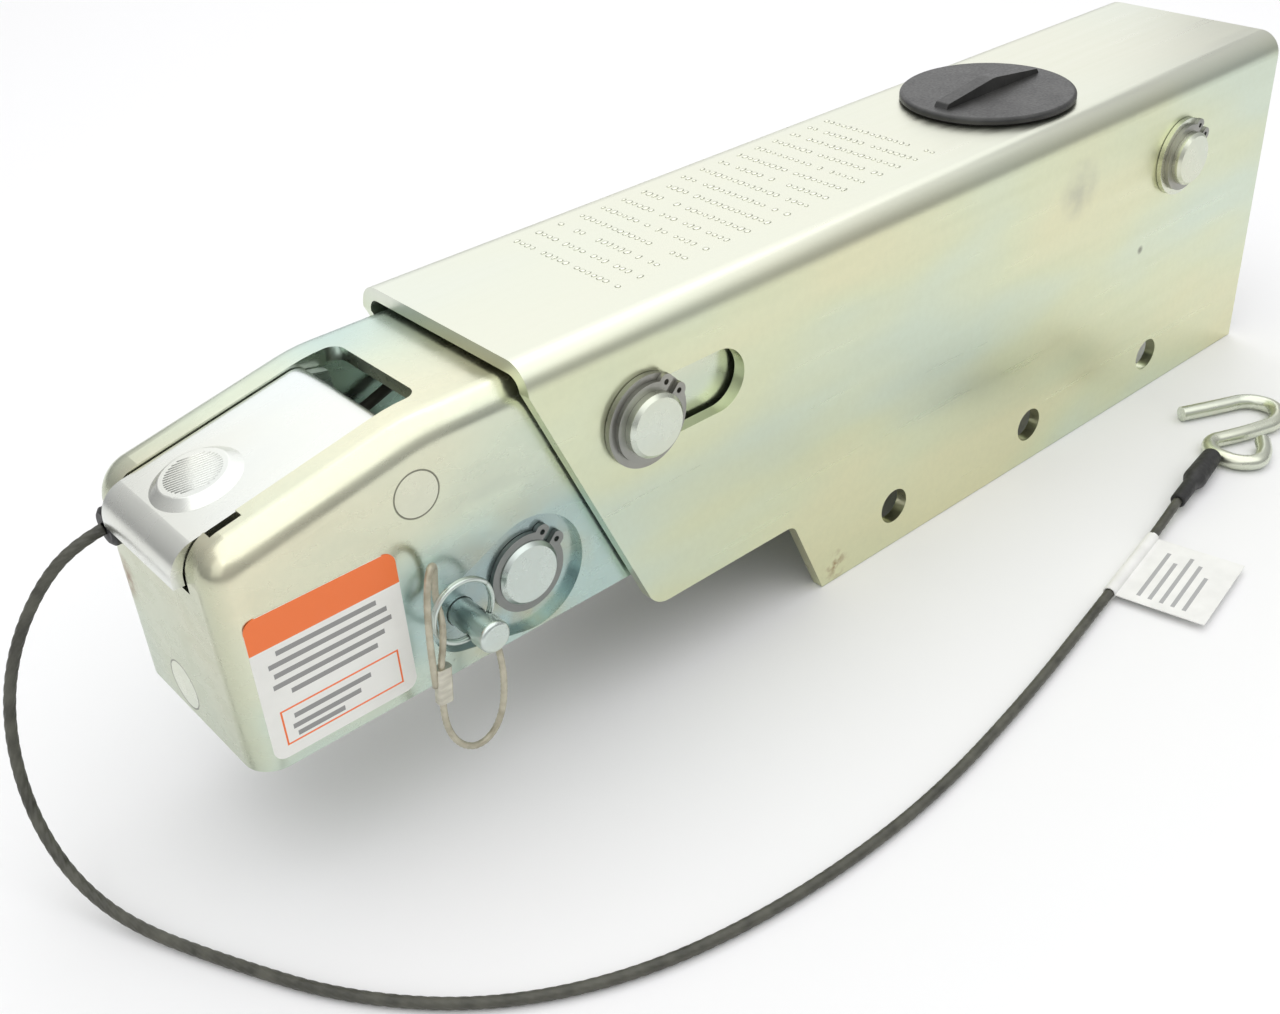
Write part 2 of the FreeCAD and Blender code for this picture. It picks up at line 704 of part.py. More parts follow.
socket_tab = block("socket_tab", (hollow_front, -d.socket_tab_half_width, d.socket_tab_low_z),
                   (hollow_front + d.socket_wall, d.socket_tab_half_width, flange_top))
socket_ball = doc.addObject("Part::Sphere", "socket_ball")
socket_ball.setExpression("Radius", "Sizes.ball_radius + Sizes.ball_clearance")
socket_ball.Placement = FreeCAD.Placement(ball, FreeCAD.Rotation())
socket_mouth = rod("socket_mouth", "Z", V(d.ball_x, 0, 0), "Sizes.ball_radius + Sizes.ball_clearance",
                   d.coupler_low_z, d.ball_z)
socket_rivet_hole = rod("socket_rivet_hole", "X", V(0, d.rivet_y, d.rivet_z),
                        "Sizes.rivet_radius + Sizes.fixed_clearance", d.nose_x,
                        hollow_front + 2 * d.socket_wall)
node("ball_socket", cut("ball_socket", fuse("socket_stamping", dome, socket_flange, socket_tab),
                        socket_ball, socket_mouth, socket_rivet_hole))
node("socket_rivet", rod("socket_rivet", "X", V(0, d.rivet_y, d.rivet_z), "Sizes.rivet_radius", d.nose_x,
                         hollow_front + d.socket_wall))

# Jaw that grips the ball from behind, on its pivot pin
jaw_hub = rod("jaw_hub", "Y", V(d.jaw_pin_x, 0, d.jaw_pin_z), "Sizes.jaw_hub_radius", -d.jaw_half_width,
              d.jaw_half_width)
jaw_arm = across("jaw_arm", outline(
    (d.jaw_front_x, d.jaw_low_z, d.jaw_tip_round),
    (d.jaw_pin_x + d.jaw_hub_radius / 2, d.jaw_low_z, d.jaw_hub_radius / 3),
    (d.jaw_pin_x + d.jaw_hub_radius / 2, d.jaw_pin_z), (d.jaw_pin_x - d.jaw_hub_radius / 2, d.jaw_pin_z),
    (d.jaw_pin_x - d.jaw_hub_radius, d.jaw_top_z), (d.jaw_front_x, d.jaw_top_z)),
    "Sizes.jaw_half_width")
jaw_bore = rod("jaw_bore", "Y", V(d.jaw_pin_x, 0, d.jaw_pin_z),
               "Sizes.jaw_pin_radius + Sizes.running_clearance", -d.coupler_width, d.coupler_width)
jaw_ball = doc.addObject("Part::Sphere", "jaw_ball")
jaw_ball.setExpression("Radius", "Sizes.ball_radius + 2 * Sizes.ball_clearance")
jaw_ball.Placement = FreeCAD.Placement(ball, FreeCAD.Rotation())
node("ball_jaw", cut("ball_jaw", fuse("jaw_forging", jaw_hub, jaw_arm), jaw_bore, jaw_ball))
jaw_ring_y = recess_floor + d.washer_gap
node("jaw_pivot_pin", cross_pin("jaw_pivot_pin", d.jaw_pin_x, d.jaw_pin_z, d.jaw_pin_radius,
                                coupler_half + d.jaw_pin_proud, jaw_ring_y - d.ring_gap / 2))
node("jaw_pin_snap_rings", snap_ring_pair("jaw_pin_snap_rings", d.jaw_pin_x, d.jaw_pin_z,
                                          d.jaw_pin_radius, jaw_ring_y))

# Latch handle: pressed plate with two ears on its pivot pin, a rolled lip and a raised thumb pad
handle_top = V(d.handle_rear_x, slope_z(d.handle_rear_x) - d.handle_sink, 0)
lip_corner_z = slope_z(d.handle_lip_x) - d.handle_sink
sheet_drop = d.handle_sheet * (math.hypot(1, slope) - slope)
lip_inside_x = d.handle_lip_x + d.handle_sheet
rear_inside_x = d.handle_rear_x - d.handle_sheet
handle_plate = across("handle_plate", outline(
    (handle_top.x, handle_top.y, d.handle_sheet * 1.8), (d.handle_lip_x, lip_corner_z, d.handle_roll),
    (d.handle_lip_x, d.handle_lip_z), (lip_inside_x, d.handle_lip_z),
    (lip_inside_x, lip_corner_z - sheet_drop, d.handle_roll - d.handle_sheet),
    (rear_inside_x, slope_z(rear_inside_x) - d.handle_sink - sheet_drop * 1.25, d.handle_sheet * 0.8),
    (rear_inside_x, d.handle_rear_low_z - d.handle_sheet),
    (d.handle_rear_x, d.handle_rear_low_z - d.handle_sheet)),
    "Sizes.handle_half_width")
ear_outline = outline(
    (d.handle_pin_x + d.ear_radius * 0.75, slope_z(d.handle_pin_x) - d.handle_sink - d.handle_sheet),
    (d.handle_pin_x + d.ear_radius, d.handle_pin_z - d.ear_radius, d.ear_radius * 0.95),
    (d.handle_pin_x - d.ear_radius * 1.6, d.handle_pin_z - d.ear_radius, d.ear_radius),
    (d.ear_front_x, slope_z(d.ear_front_x) - d.handle_sink - 2.4 * d.handle_sheet),
    (d.ear_front_x, slope_z(d.ear_front_x) - d.handle_sink - 0.5 * d.handle_sheet),
    (d.handle_pin_x, slope_z(d.handle_pin_x) - d.handle_sink - 0.5 * d.handle_sheet))
ear_inner = d.handle_half_width - d.handle_sheet
ears = [
    extrude("ear_near", "side", ear_outline, -d.handle_half_width, "Sizes.handle_sheet"),
    extrude("ear_far", "side", ear_outline, ear_inner, "Sizes.handle_sheet"),
]
pad_z = slope_z(d.pad_x) - d.handle_sink
pad = turned("thumb_pad", "Z", V(0, 0, 0), outline(
    (0.0, -d.handle_sheet / 2), (d.pad_radius, -d.handle_sheet / 2), (d.pad_radius, 0.0),
    (d.pad_top_radius, d.pad_height, 1.0), (0.0, d.pad_height)))
pad.Placement = FreeCAD.Placement(V(d.pad_x, d.pad_y, pad_z),
                                  FreeCAD.Rotation(V(0, 1, 0), -math.degrees(math.atan(slope))))
handle_bore = rod("handle_bore", "Y", V(d.handle_pin_x, 0, d.handle_pin_z),
                  "Sizes.handle_pin_radius + Sizes.running_clearance", -d.coupler_width, d.coupler_width)
node("latch_handle", cut("latch_handle", fuse("handle_pressing", handle_plate, pad, *ears), handle_bore))
node("handle_pin", rod("handle_pin", "Y", V(d.handle_pin_x, 0, d.handle_pin_z), "Sizes.handle_pin_radius",
                       -coupler_half, coupler_half))

# Lock pin through the nose, with a capped end and a split ring through its cross hole
lock_axis = V(d.lock_x, 0, d.lock_z)
cap_start = d.lock_outer_y + d.lock_cap_length
lock_blank = turned("lock_blank", "Y", lock_axis, outline(
    (0.0, d.lock_outer_y), (d.lock_cap_radius, d.lock_outer_y, 1.6), (d.lock_cap_radius, cap_start),
    (d.lock_radius, cap_start), (d.lock_radius, d.lock_inner_y - d.lock_radius),
    (d.lock_radius / 2, d.lock_inner_y), (0.0, d.lock_inner_y)))
ring_lean = FreeCAD.Rotation(V(0, 1, 0), -d.pin_ring_lean)
ring_hole_axis = ring_lean.multVec(V(1, 0, 0))
lock_hole_place = V(d.lock_x, d.lock_hole_y, d.lock_z)
lock_hole = doc.addObject("Part::Cylinder", "lock_hole")
lock_hole.setExpression("Radius", "Sizes.lock_hole_radius")
lock_hole.setExpression("Height", "4 * Sizes.lock_radius")
lock_hole.Placement = FreeCAD.Placement(lock_hole_place - ring_hole_axis * (2 * d.lock_radius),
                                        FreeCAD.Rotation(V(0, 0, 1), ring_hole_axis))
node("lock_pin", cut("lock_pin", lock_blank, lock_hole))
ring_bow = d.pin_ring_radius - math.sqrt(d.pin_ring_radius ** 2 - d.lock_radius ** 2)
pin_ring = doc.addObject("Part::Torus", "pin_ring")
pin_ring.setExpression("Radius1", "Sizes.pin_ring_radius")
pin_ring.setExpression("Radius2", "Sizes.pin_ring_wire")
pin_ring.Placement = FreeCAD.Placement(
    lock_hole_place + ring_lean.multVec(V(0, 0, 1)) * (d.pin_ring_radius - ring_bow / 2),
    FreeCAD.Rotation(V(0, 0, 1), V(0, 1, 0)))
node("pin_ring", pin_ring)


def cord_path(points):
    """Straight runs joined by arcs as large as the runs allow; prints the arcs' radii."""
    edges = []
    radii = []
    start = points[0]
    for before, corner, after in zip(points, points[1:], points[2:]):
        back = before - corner
        ahead = after - corner
        tangent = 0.45 * min(back.Length, ahead.Length)
        back.normalize()
        ahead.normalize()
        half = back.getAngle(ahead) / 2
        bisector = back + ahead
        bisector.normalize()
        radius = tangent * math.tan(half)
        centre = corner + bisector * (radius / math.sin(half))
        entry = corner + back * tangent
        leave = corner + ahead * tangent
        edges.append(Part.LineSegment(start, entry).toShape())
        edges.append(Part.Arc(entry, centre - bisector * radius, leave).toShape())
        radii.append(radius)
        start = leave
    edges.append(Part.LineSegment(start, points[-1]).toShape())
    return Part.Wire(edges), radii


def tube(name, points, radius):
    """Round cord or wire of the given radius along a route; prints its tightest arc and its length."""
    path, radii = cord_path(points)
    direction = points[1] - points[0]
    ring = Part.Wire([Part.Circle(points[0], direction, radius).toShape()])
    solid = path.makePipeShell([ring], True, False)
    expected = math.pi * radius ** 2 * path.Length
    print(f"{name}: length {path.Length:.1f}, tightest arc {min(radii):.1f}, "
          f"volume {solid.Volume:.0f} of {expected:.0f}")
    feature = doc.addObject("Part::Feature", name)
    feature.Shape = solid
    return feature


# Lanyard of the lock pin: an eye on the split ring, a crimped ferrule, and a loop back to the pin's cap
LANYARD = [V(*point) for point in (
    (-47.9, -49.0, 57.0), (-47.8, -49.2, 68.0), (-47.2, -49.4, 79.0), (-45.6, -48.6, 89.0),
    (-42.4, -46.6, 96.0), (-38.8, -43.6, 94.4), (-38.3, -41.4, 87.6), (-39.2, -41.7, 81.5),
    (-40.6, -46.3, 76.2), (-43.4, -49.3, 70.5), (-45.3, -49.4, 64.0), (-46.0, -49.2, 56.0),
    (-47.0, -49.2, 47.5), (-46.4, -49.2, 38.5), (-42.8, -49.2, 30.5), (-36.8, -49.2, 26.4),
    (-30.6, -49.4, 28.8), (-26.9, -50.0, 36.0), (-25.6, -50.6, 45.0), (-25.4, -51.0, 53.5),
    (-26.2, -51.2, 61.2))]
node("lanyard", tube("lanyard", LANYARD, d.lanyard_radius))
ferrule_half = d.ferrule_width / 2
ferrule_deep = d.ferrule_depth / 2
ferrule_blank = extrude("ferrule_blank", "plan", outline(
    (-ferrule_half, -ferrule_deep, d.ferrule_round), (ferrule_half, -ferrule_deep, d.ferrule_round),
    (ferrule_half, ferrule_deep, d.ferrule_round), (-ferrule_half, ferrule_deep, d.ferrule_round)),
    0.0, "Sizes.ferrule_length")
ferrule_blank.Placement = FreeCAD.Placement(
    V(d.ferrule_x, d.ferrule_y, d.ferrule_z - d.ferrule_length / 2),
    FreeCAD.Rotation(V(0, 1, 0), d.ferrule_lean))
node("lanyard_ferrule", ferrule_blank)

# Breakaway cable: out of the front corner through its grommet, down to the floor and round to the hook
CABLE = [V(*point) for point in (
    (-104.3, d.grommet_y, d.grommet_z), (-114.0, 30.2, 102.4), (-125.5, 33.8, 92.0), (-136.5, 36.2, 76.0),
    (-144.5, 35.6, 58.5), (-149.8, 30.0, 40.0), (-152.0, 18.5, 23.5), (-150.2, 2.5, 10.5),
    (-143.5, -17.5, 3.0), (-129.5, -47.0, 1.95), (-110.5, -83.0, 1.95), (-82.0, -114.0, 1.95),
    (-43.0, -135.0, 1.95), (6.0, -145.0, 1.95), (62.0, -146.5, 1.95), (122.0, -138.0, 2.1),
    (180.0, -126.2, 2.6), (232.0, -115.2, 2.7), (256.5, -109.8, 4.8))]
node("breakaway_cable", tube("breakaway_cable", CABLE, d.cable_radius))
grommet_face = d.nose_x - d.grommet_flange
node("cable_grommet", turned("cable_grommet", "X", V(0, d.grommet_y, d.grommet_z), outline(
    (d.cable_radius + d.fixed_clearance, grommet_face), (d.grommet_flange_radius * 0.8, grommet_face),
    (d.grommet_flange_radius, grommet_face + d.grommet_flange / 2, 0.6), (d.grommet_flange_radius, d.nose_x),
    (d.grommet_neck_radius, d.nose_x), (d.grommet_neck_radius, hollow_front + d.coupler_wall),
    (d.cable_radius + d.fixed_clearance, hollow_front + d.coupler_wall))))
nipple_front = d.lever_x + d.lever_arm_half + d.nipple_gap
nipple_rear = nipple_front + d.nipple_length
INNER_CABLE = [V(*point) for point in (
    (-97.0, d.grommet_y, d.grommet_z), (-76.0, d.grommet_y, d.grommet_z - 1.1),
    (-50.0, d.grommet_y, d.grommet_z - 2.7), (-22.0, d.grommet_y - 0.2, d.grommet_z + 0.1),
    (4.0, d.inner_cable_y + 0.4, (d.grommet_z + d.inner_cable_z) / 2),
    (26.0, d.inner_cable_y, d.inner_cable_z),
    (nipple_rear, d.inner_cable_y, d.inner_cable_z))]
node("breakaway_cable_inner", tube("breakaway_cable_inner", INNER_CABLE, d.cable_radius))
node("cable_nipple", turned("cable_nipple", "X", V(0, d.inner_cable_y, d.inner_cable_z), ring_profile(
    d.cable_radius + d.fixed_clearance, d.nipple_radius, nipple_front, nipple_rear)))

# Heat-shrunk sleeve over the cable's crimped end
cable_end = CABLE[-1]
end_run = cable_end - CABLE[-2]
sleeve_turn = math.degrees(math.atan2(end_run.y, end_run.x))
sleeve = turned("cable_sleeve", "X", V(0, 0, 0), outline(
    (0.0, 0.0), (d.sleeve_narrow_radius, 0.0, 0.8), (d.sleeve_narrow_radius, d.sleeve_length * 0.36, 2.0),
    (d.sleeve_wide_radius, d.sleeve_length * 0.48, 2.0),
    (d.sleeve_wide_radius * 0.86, d.sleeve_length, 1.5), (0.0, d.sleeve_length)))
sleeve.Placement = FreeCAD.Placement(cable_end, FreeCAD.Rotation(V(0, 0, 1), sleeve_turn))
node("cable_sleeve", sleeve)

# S-shaped hook bent from round wire: a closed eye at the sleeve and an open hook
HOOK = [V(*point) for point in (
    (318.5, -72.5, 3.3), (333.0, -79.5, 3.3), (348.0, -86.0, 3.3), (351.0, -98.0, 3.3),
    (340.0, -105.5, 3.3), (322.0, -100.0, 3.3), (306.0, -93.0, 3.3), (299.2, -99.0, 3.3),
    (299.4, -110.0, 3.3), (306.0, -116.6, 3.3), (315.0, -113.5, 3.3), (321.5, -108.8, 3.3))]
node("s_hook", tube("s_hook", HOOK, d.hook_wire_radius))

# Paper flag wrapped round the cable
flag_run = CABLE[17] - CABLE[16]
flag_start = CABLE[16] + flag_run * d.flag_place
flag_turn = math.degrees(math.atan2(flag_run.y, flag_run.x))
wrap_inner = d.cable_radius + d.flag_wrap
flag_wrap = turned("flag_wrap", "X", V(0, 0, 0), ring_profile(
    wrap_inner, wrap_inner + d.flag_thickness, 0.0, d.flag_length))
flag_leaf = block("flag_leaf", (0.0, -d.flag_width - wrap_inner, -d.flag_thickness / 2),
                  (d.flag_length, -wrap_inner, d.flag_thickness / 2))
flag = fuse("cable_flag", flag_wrap, flag_leaf)
flag.Placement = FreeCAD.Placement(flag_start, FreeCAD.Rotation(V(0, 0, 1), flag_turn))
node("cable_flag", flag)

# Blank label stuck to the coupler's near side
label_high = d.label_low_z + d.label_height
label_end = d.label_x + d.label_length
node("side_label", extrude("side_label", "side", outline(
    (d.label_x, d.label_low_z, d.label_corner), (label_end, d.label_low_z, d.label_corner),
    (label_end, label_high, d.label_corner), (d.label_x, label_high, d.label_corner)),
    -coupler_half - d.label_thickness, "Sizes.label_thickness"))

# Master cylinder casting: bore, reservoir with a filler neck, and a lug on the rear pin
bore_axis = V(0, d.cylinder_y, d.cylinder_z)
reservoir_rear = d.reservoir_front_x + d.reservoir_length
reservoir_half = d.cylinder_radius
barrel = rod("barrel", "X", bore_axis, "Sizes.cylinder_radius", d.cylinder_front_x, d.cylinder_rear_x)
tank = block("tank", (d.reservoir_front_x, d.cylinder_y - reservoir_half, d.reservoir_low_z),
             (reservoir_rear, d.cylinder_y + reservoir_half, d.reservoir_top_z))
tank_web = block("tank_web", (d.reservoir_front_x, d.cylinder_y - reservoir_half / 2, d.cylinder_z),
                 (reservoir_rear, d.cylinder_y + reservoir_half / 2, d.reservoir_low_z + d.reservoir_wall))
neck_top = d.case_height
neck = rod("neck", "Z", V(d.cap_x, 0, 0), "Sizes.neck_radius", d.neck_low_z, neck_top)
lug_root = d.cylinder_radius / 2
lug_edges = drop_shape(d.rear_pin_x, d.pin_z, d.lug_outer_radius, d.cylinder_rear_x - d.cylinder_radius,
                       d.cylinder_z + lug_root, lug_root)
lug = extrude("cylinder_lug", "side", lug_edges, d.cylinder_y - d.lug_half_width, "2 * Sizes.lug_half_width")
casting = fuse("cylinder_casting", barrel, tank, tank_web, neck, lug)
bore = rod("cylinder_bore", "X", bore_axis, "Sizes.bore_radius", d.cylinder_front_x - 1, d.bore_end_x)
outlet_bore = rod("outlet_bore", "X", bore_axis, "Sizes.inner_port_radius", d.bore_end_x - 1,
                  d.cylinder_rear_x + 1)
tank_hollow = block(
    "tank_hollow",
    (d.reservoir_front_x + d.reservoir_wall, d.cylinder_y - reservoir_half + d.reservoir_wall,
     d.reservoir_low_z + d.reservoir_wall),
    (reservoir_rear - d.reservoir_wall, d.cylinder_y + reservoir_half - d.reservoir_wall,
     d.reservoir_top_z - d.reservoir_wall))
neck_bore = rod("neck_bore", "Z", V(d.cap_x, 0, 0), "Sizes.neck_bore_radius",
                d.neck_low_z + d.reservoir_wall / 2, neck_top + 1)
feed_port = rod("feed_port", "Z", V(d.reservoir_front_x + d.reservoir_length / 2, d.cylinder_y, 0),
                "Sizes.feed_port_radius", d.cylinder_z, d.reservoir_low_z + 2 * d.reservoir_wall)
lug_bore = rod("lug_bore", "Y", V(d.rear_pin_x, 0, d.pin_z), "Sizes.pin_radius + Sizes.fixed_clearance",
               -d.coupler_width, d.coupler_width)
node("master_cylinder", cut("master_cylinder", casting, bore, outlet_bore, tank_hollow, neck_bore,
                            feed_port, lug_bore))
outlet_start = d.cylinder_rear_x
node("outlet_fitting", cut("outlet_fitting", turned("outlet_blank", "X", bore_axis, outline(
    (0.0, outlet_start), (d.outlet_radius - d.pin_chamfer, outlet_start),
    (d.outlet_radius, outlet_start + d.pin_chamfer), (d.outlet_radius, outlet_start + d.outlet_length / 2),
    (d.outlet_tip_radius, outlet_start + d.outlet_length / 2),
    (d.outlet_tip_radius, outlet_start + d.outlet_length), (0.0, outlet_start + d.outlet_length))),
    rod("outlet_hole", "X", bore_axis, "Sizes.line_port_radius", outlet_start - 1,
        outlet_start + d.outlet_length + 1)))

# Filler cap with a sloping grip rib, and its gasket on the case's top
gasket_top = d.case_height + d.gasket_thickness
cap_top = gasket_top + d.cap_flange
stem_radius = d.neck_bore_radius - d.slot_clearance
cap_body = turned("cap_body", "Z", V(d.cap_x, 0, 0), outline(
    (0.0, d.cap_stem_low_z), (stem_radius - d.cap_stem_chamfer, d.cap_stem_low_z),
    (stem_radius, d.cap_stem_low_z + d.cap_stem_chamfer), (stem_radius, gasket_top),
    (d.cap_radius, gasket_top), (d.cap_radius, cap_top, 1.4), (0.0, cap_top)))
rib_outline = outline(
    (-d.cap_rib_half, -1.0), (d.cap_rib_half, -1.0), (d.cap_rib_top_half, d.cap_rib_end_height, 1.0),
    (0.0, d.cap_rib_height, d.cap_rib_round), (-d.cap_rib_top_half, d.cap_rib_end_height, 1.0))
cap_rib = extrude("cap_rib", "side", rib_outline, -d.cap_rib_width / 2, "Sizes.cap_rib_width")
cap_rib.Placement = FreeCAD.Placement(V(d.cap_x, 0, cap_top), FreeCAD.Rotation())
node("filler_cap", fuse("filler_cap", cap_body, cap_rib))
node("cap_gasket", turned("cap_gasket", "Z", V(d.cap_x, 0, 0), ring_profile(
    d.neck_radius + 2 * d.slot_clearance, d.gasket_radius, d.case_height, gasket_top)))

# Push rod behind the slide's bridge, the piston it seats in, its seals and the retaining ring
bridge_back = d.bridge_x + d.bridge_thickness
collar_end = bridge_back + d.rod_collar_length
node("push_rod", turned("push_rod", "X", bore_axis, outline(
    (0.0, d.rod_front_x), (d.rod_radius, d.rod_front_x, 2.0), (d.rod_radius, bridge_back),
    (d.rod_collar_radius, bridge_back), (d.rod_collar_radius, collar_end), (d.rod_radius, collar_end),
    (d.rod_radius, d.rod_seat_x, 2.0), (0.0, d.rod_seat_x))))
piston_radius = d.bore_radius - d.running_clearance
piston_rear = d.piston_front_x + d.piston_length
seal_front = d.piston_front_x + d.piston_length * 0.35
seal_rear = piston_rear - 2 * d.seal_width
seal_inner = piston_radius - d.seal_depth
seat_radius = d.rod_radius + d.fixed_clearance
node("piston", turned("piston", "X", bore_axis, outline(
    (seat_radius, d.piston_front_x), (piston_radius, d.piston_front_x), (piston_radius, seal_front),
    (seal_inner, seal_front), (seal_inner, seal_front + d.seal_width),
    (piston_radius, seal_front + d.seal_width),
    (piston_radius, seal_rear), (seal_inner, seal_rear), (seal_inner, seal_rear + d.seal_width),
    (piston_radius, seal_rear + d.seal_width), (piston_radius, piston_rear), (0.0, piston_rear),
    (0.0, d.rod_seat_x), (seat_radius, d.rod_seat_x))))
node("piston_seals", group("piston_seals", *[
    turned(f"piston_seal_{index}", "X", bore_axis, ring_profile(seal_inner, piston_radius, start,
                                                                 start + d.seal_width))
    for index, start in enumerate((seal_front, seal_rear))]))
node("piston_retainer", turned("piston_retainer", "X", bore_axis, ring_profile(
    d.retainer_bore, d.bore_radius, d.cylinder_front_x + d.retainer_thickness,
    d.cylinder_front_x + 2 * d.retainer_thickness)))

# Damper: rod eye on the slide pin, body eye on the rear pin
damper_axis = V(0, d.damper_y, d.pin_z)
eye_low = d.damper_y - d.damper_eye_half_width
eye_high = d.damper_y + d.damper_eye_half_width


def eye(name, x):
    """Round eye of the damper about a cross pin."""
    return rod(name, "Y", V(x, 0, d.pin_z), "Sizes.damper_eye_radius", eye_low, eye_high)


def eye_bore(name, x):
    """Bore of a damper eye."""
    return rod(name, "Y", V(x, 0, d.pin_z), "Sizes.pin_radius + Sizes.fixed_clearance", eye_low - 1,
               eye_high + 1)


damper_tube = rod("damper_tube", "X", damper_axis, "Sizes.damper_radius", d.damper_front_x,
                  d.damper_rear_x)
damper_neck = rod("damper_neck", "X", damper_axis, "Sizes.damper_rod_radius", d.damper_rear_x - 1,
                  d.rear_pin_x)
damper_chamber = rod("damper_chamber", "X", damper_axis, "Sizes.damper_radius - Sizes.damper_wall",
                     d.damper_front_x + 3 * d.damper_wall, d.damper_rear_x - 2 * d.damper_wall)
damper_gland = rod("damper_gland", "X", damper_axis, "Sizes.damper_rod_radius + Sizes.running_clearance",
                   d.damper_front_x - 1, d.damper_rear_x - 3 * d.damper_wall)
node("damper_body", cut("damper_body", fuse("damper_shell", damper_tube, damper_neck,
                                            eye("damper_rear_eye", d.rear_pin_x)),
                        damper_chamber, damper_gland, eye_bore("damper_rear_bore", d.rear_pin_x)))
damper_shaft = rod("damper_shaft", "X", damper_axis, "Sizes.damper_rod_radius", d.slide_pin_x,
                   d.damper_rod_end_x)
damper_piston = rod("damper_piston", "X", damper_axis,
                    "Sizes.damper_radius - Sizes.damper_wall - Sizes.slot_clearance",
                    d.damper_rod_end_x - 3 * d.damper_wall, d.damper_rod_end_x)
node("damper_rod", cut("damper_rod", fuse("damper_rod_blank", damper_shaft, damper_piston,
                                          eye("damper_front_eye", d.slide_pin_x)),
                       eye_bore("damper_front_bore", d.slide_pin_x)))

# Breakaway lever on its pin: the cable pulls its upper arm, its lower nose pushes the rod
node("lever_pin", rod("lever_pin", "Y", V(d.lever_x, 0, d.lever_z), "Sizes.lever_pin_radius", -coupler_half,
                      coupler_half))
lever_near = d.cylinder_y - d.lever_arm_half
lever_hub = rod("lever_hub", "Y", V(d.lever_x, 0, d.lever_z), "Sizes.lever_hub_radius", lever_near,
                d.lever_far_y)
nose_x = d.rod_front_x - d.lever_nose_gap
lever_front = d.lever_x - d.lever_arm_half
lever_back = d.lever_x + d.lever_arm_half
lower_arm = extrude("lever_lower_arm", "side", outline(
    (lever_front, d.cylinder_z - d.rod_radius, d.lever_nose_round),
    (nose_x, d.cylinder_z - d.rod_radius, d.lever_nose_round),
    (nose_x, d.cylinder_z + d.rod_radius / 2, d.lever_nose_round), (lever_back, d.lever_z),
    (lever_front, d.lever_z)), lever_near, "2 * Sizes.lever_arm_half")
lever_stem = block("lever_stem", (lever_front, d.lever_far_y - d.lever_stem_width, d.lever_z),
                   (lever_back, d.lever_far_y, d.fork_slot_z))
fork_slot_half = d.cable_radius + d.fork_slot_clearance
fork = extrude("lever_fork", "section", outline(
    (d.fork_near_y, d.fork_low_z), (d.lever_far_y, d.fork_low_z), (d.lever_far_y, d.fork_top_z),
    (d.inner_cable_y + fork_slot_half, d.fork_top_z), (d.inner_cable_y + fork_slot_half, d.fork_slot_z),
    (d.inner_cable_y - fork_slot_half, d.fork_slot_z), (d.inner_cable_y - fork_slot_half, d.fork_top_z),
    (d.fork_near_y, d.fork_top_z)), lever_front, "2 * Sizes.lever_arm_half")
lever_bore = rod("lever_bore", "Y", V(d.lever_x, 0, d.lever_z),
                 "Sizes.lever_pin_radius + Sizes.running_clearance", -d.coupler_width, d.coupler_width)
lever_blank = fuse("lever_blank", lever_hub, lower_arm, lever_stem, fork)
node("breakaway_lever", cut("breakaway_lever", lever_blank, lever_bore))

# Reset pawl that holds the lever, on its own pin, its tab reaching below the coupler
node("pawl_pin", rod("pawl_pin", "Y", V(d.pawl_x, 0, d.pawl_z), "Sizes.pawl_pin_radius", -coupler_half,
                     coupler_half))
pawl_arm_top = d.pawl_arm_z + d.pawl_sheet
pawl_arm = across("pawl_arm", outline(
    (d.pawl_tab_x, d.pawl_tab_low_z, 1.0), (d.pawl_tab_x + d.pawl_sheet, d.pawl_tab_low_z, 1.0),
    (d.pawl_tab_x + d.pawl_sheet, d.pawl_arm_z, d.pawl_sheet / 2),
    (d.pawl_x + d.pawl_sheet, d.pawl_arm_z, d.pawl_sheet), (d.pawl_x + d.pawl_sheet, d.pawl_z),
    (d.pawl_x - d.pawl_sheet, d.pawl_z), (d.pawl_x - 2 * d.pawl_sheet, pawl_arm_top, d.pawl_sheet),
    (d.pawl_tab_x, pawl_arm_top, d.pawl_sheet)), "Sizes.pawl_half_width")
pawl_hub = rod("pawl_hub", "Y", V(d.pawl_x, 0, d.pawl_z), "Sizes.pawl_hub_radius", -d.pawl_half_width,
               d.pawl_half_width)
pawl_bore = rod("pawl_bore", "Y", V(d.pawl_x, 0, d.pawl_z),
                "Sizes.pawl_pin_radius + Sizes.running_clearance", -d.coupler_width, d.coupler_width)
node("reset_pawl", cut("reset_pawl", fuse("pawl_blank", pawl_arm, pawl_hub), pawl_bore))

# Test every object, then write one file for each sub-part
doc.recompute()
for item in doc.Objects:
    if "Invalid" in item.State or "Error" in item.State:
        raise RuntimeError(f"{item.Label} failed: {item.State}")
for label, solid in nodes.items():
    if solid.Shape.isNull() or not solid.Shape.isValid() or not solid.Shape.Solids:
        raise RuntimeError(f"{label} has no valid solid")
os.makedirs("parts", exist_ok=True)
for label, solid in nodes.items():
    solid.Shape.exportStep(f"parts/{label}.step")
print(f"{len(nodes)} sub-parts written")
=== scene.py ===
"""Looks of the surge brake actuator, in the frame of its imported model. Metres."""
import math

import bpy
from mathutils import Matrix, Vector


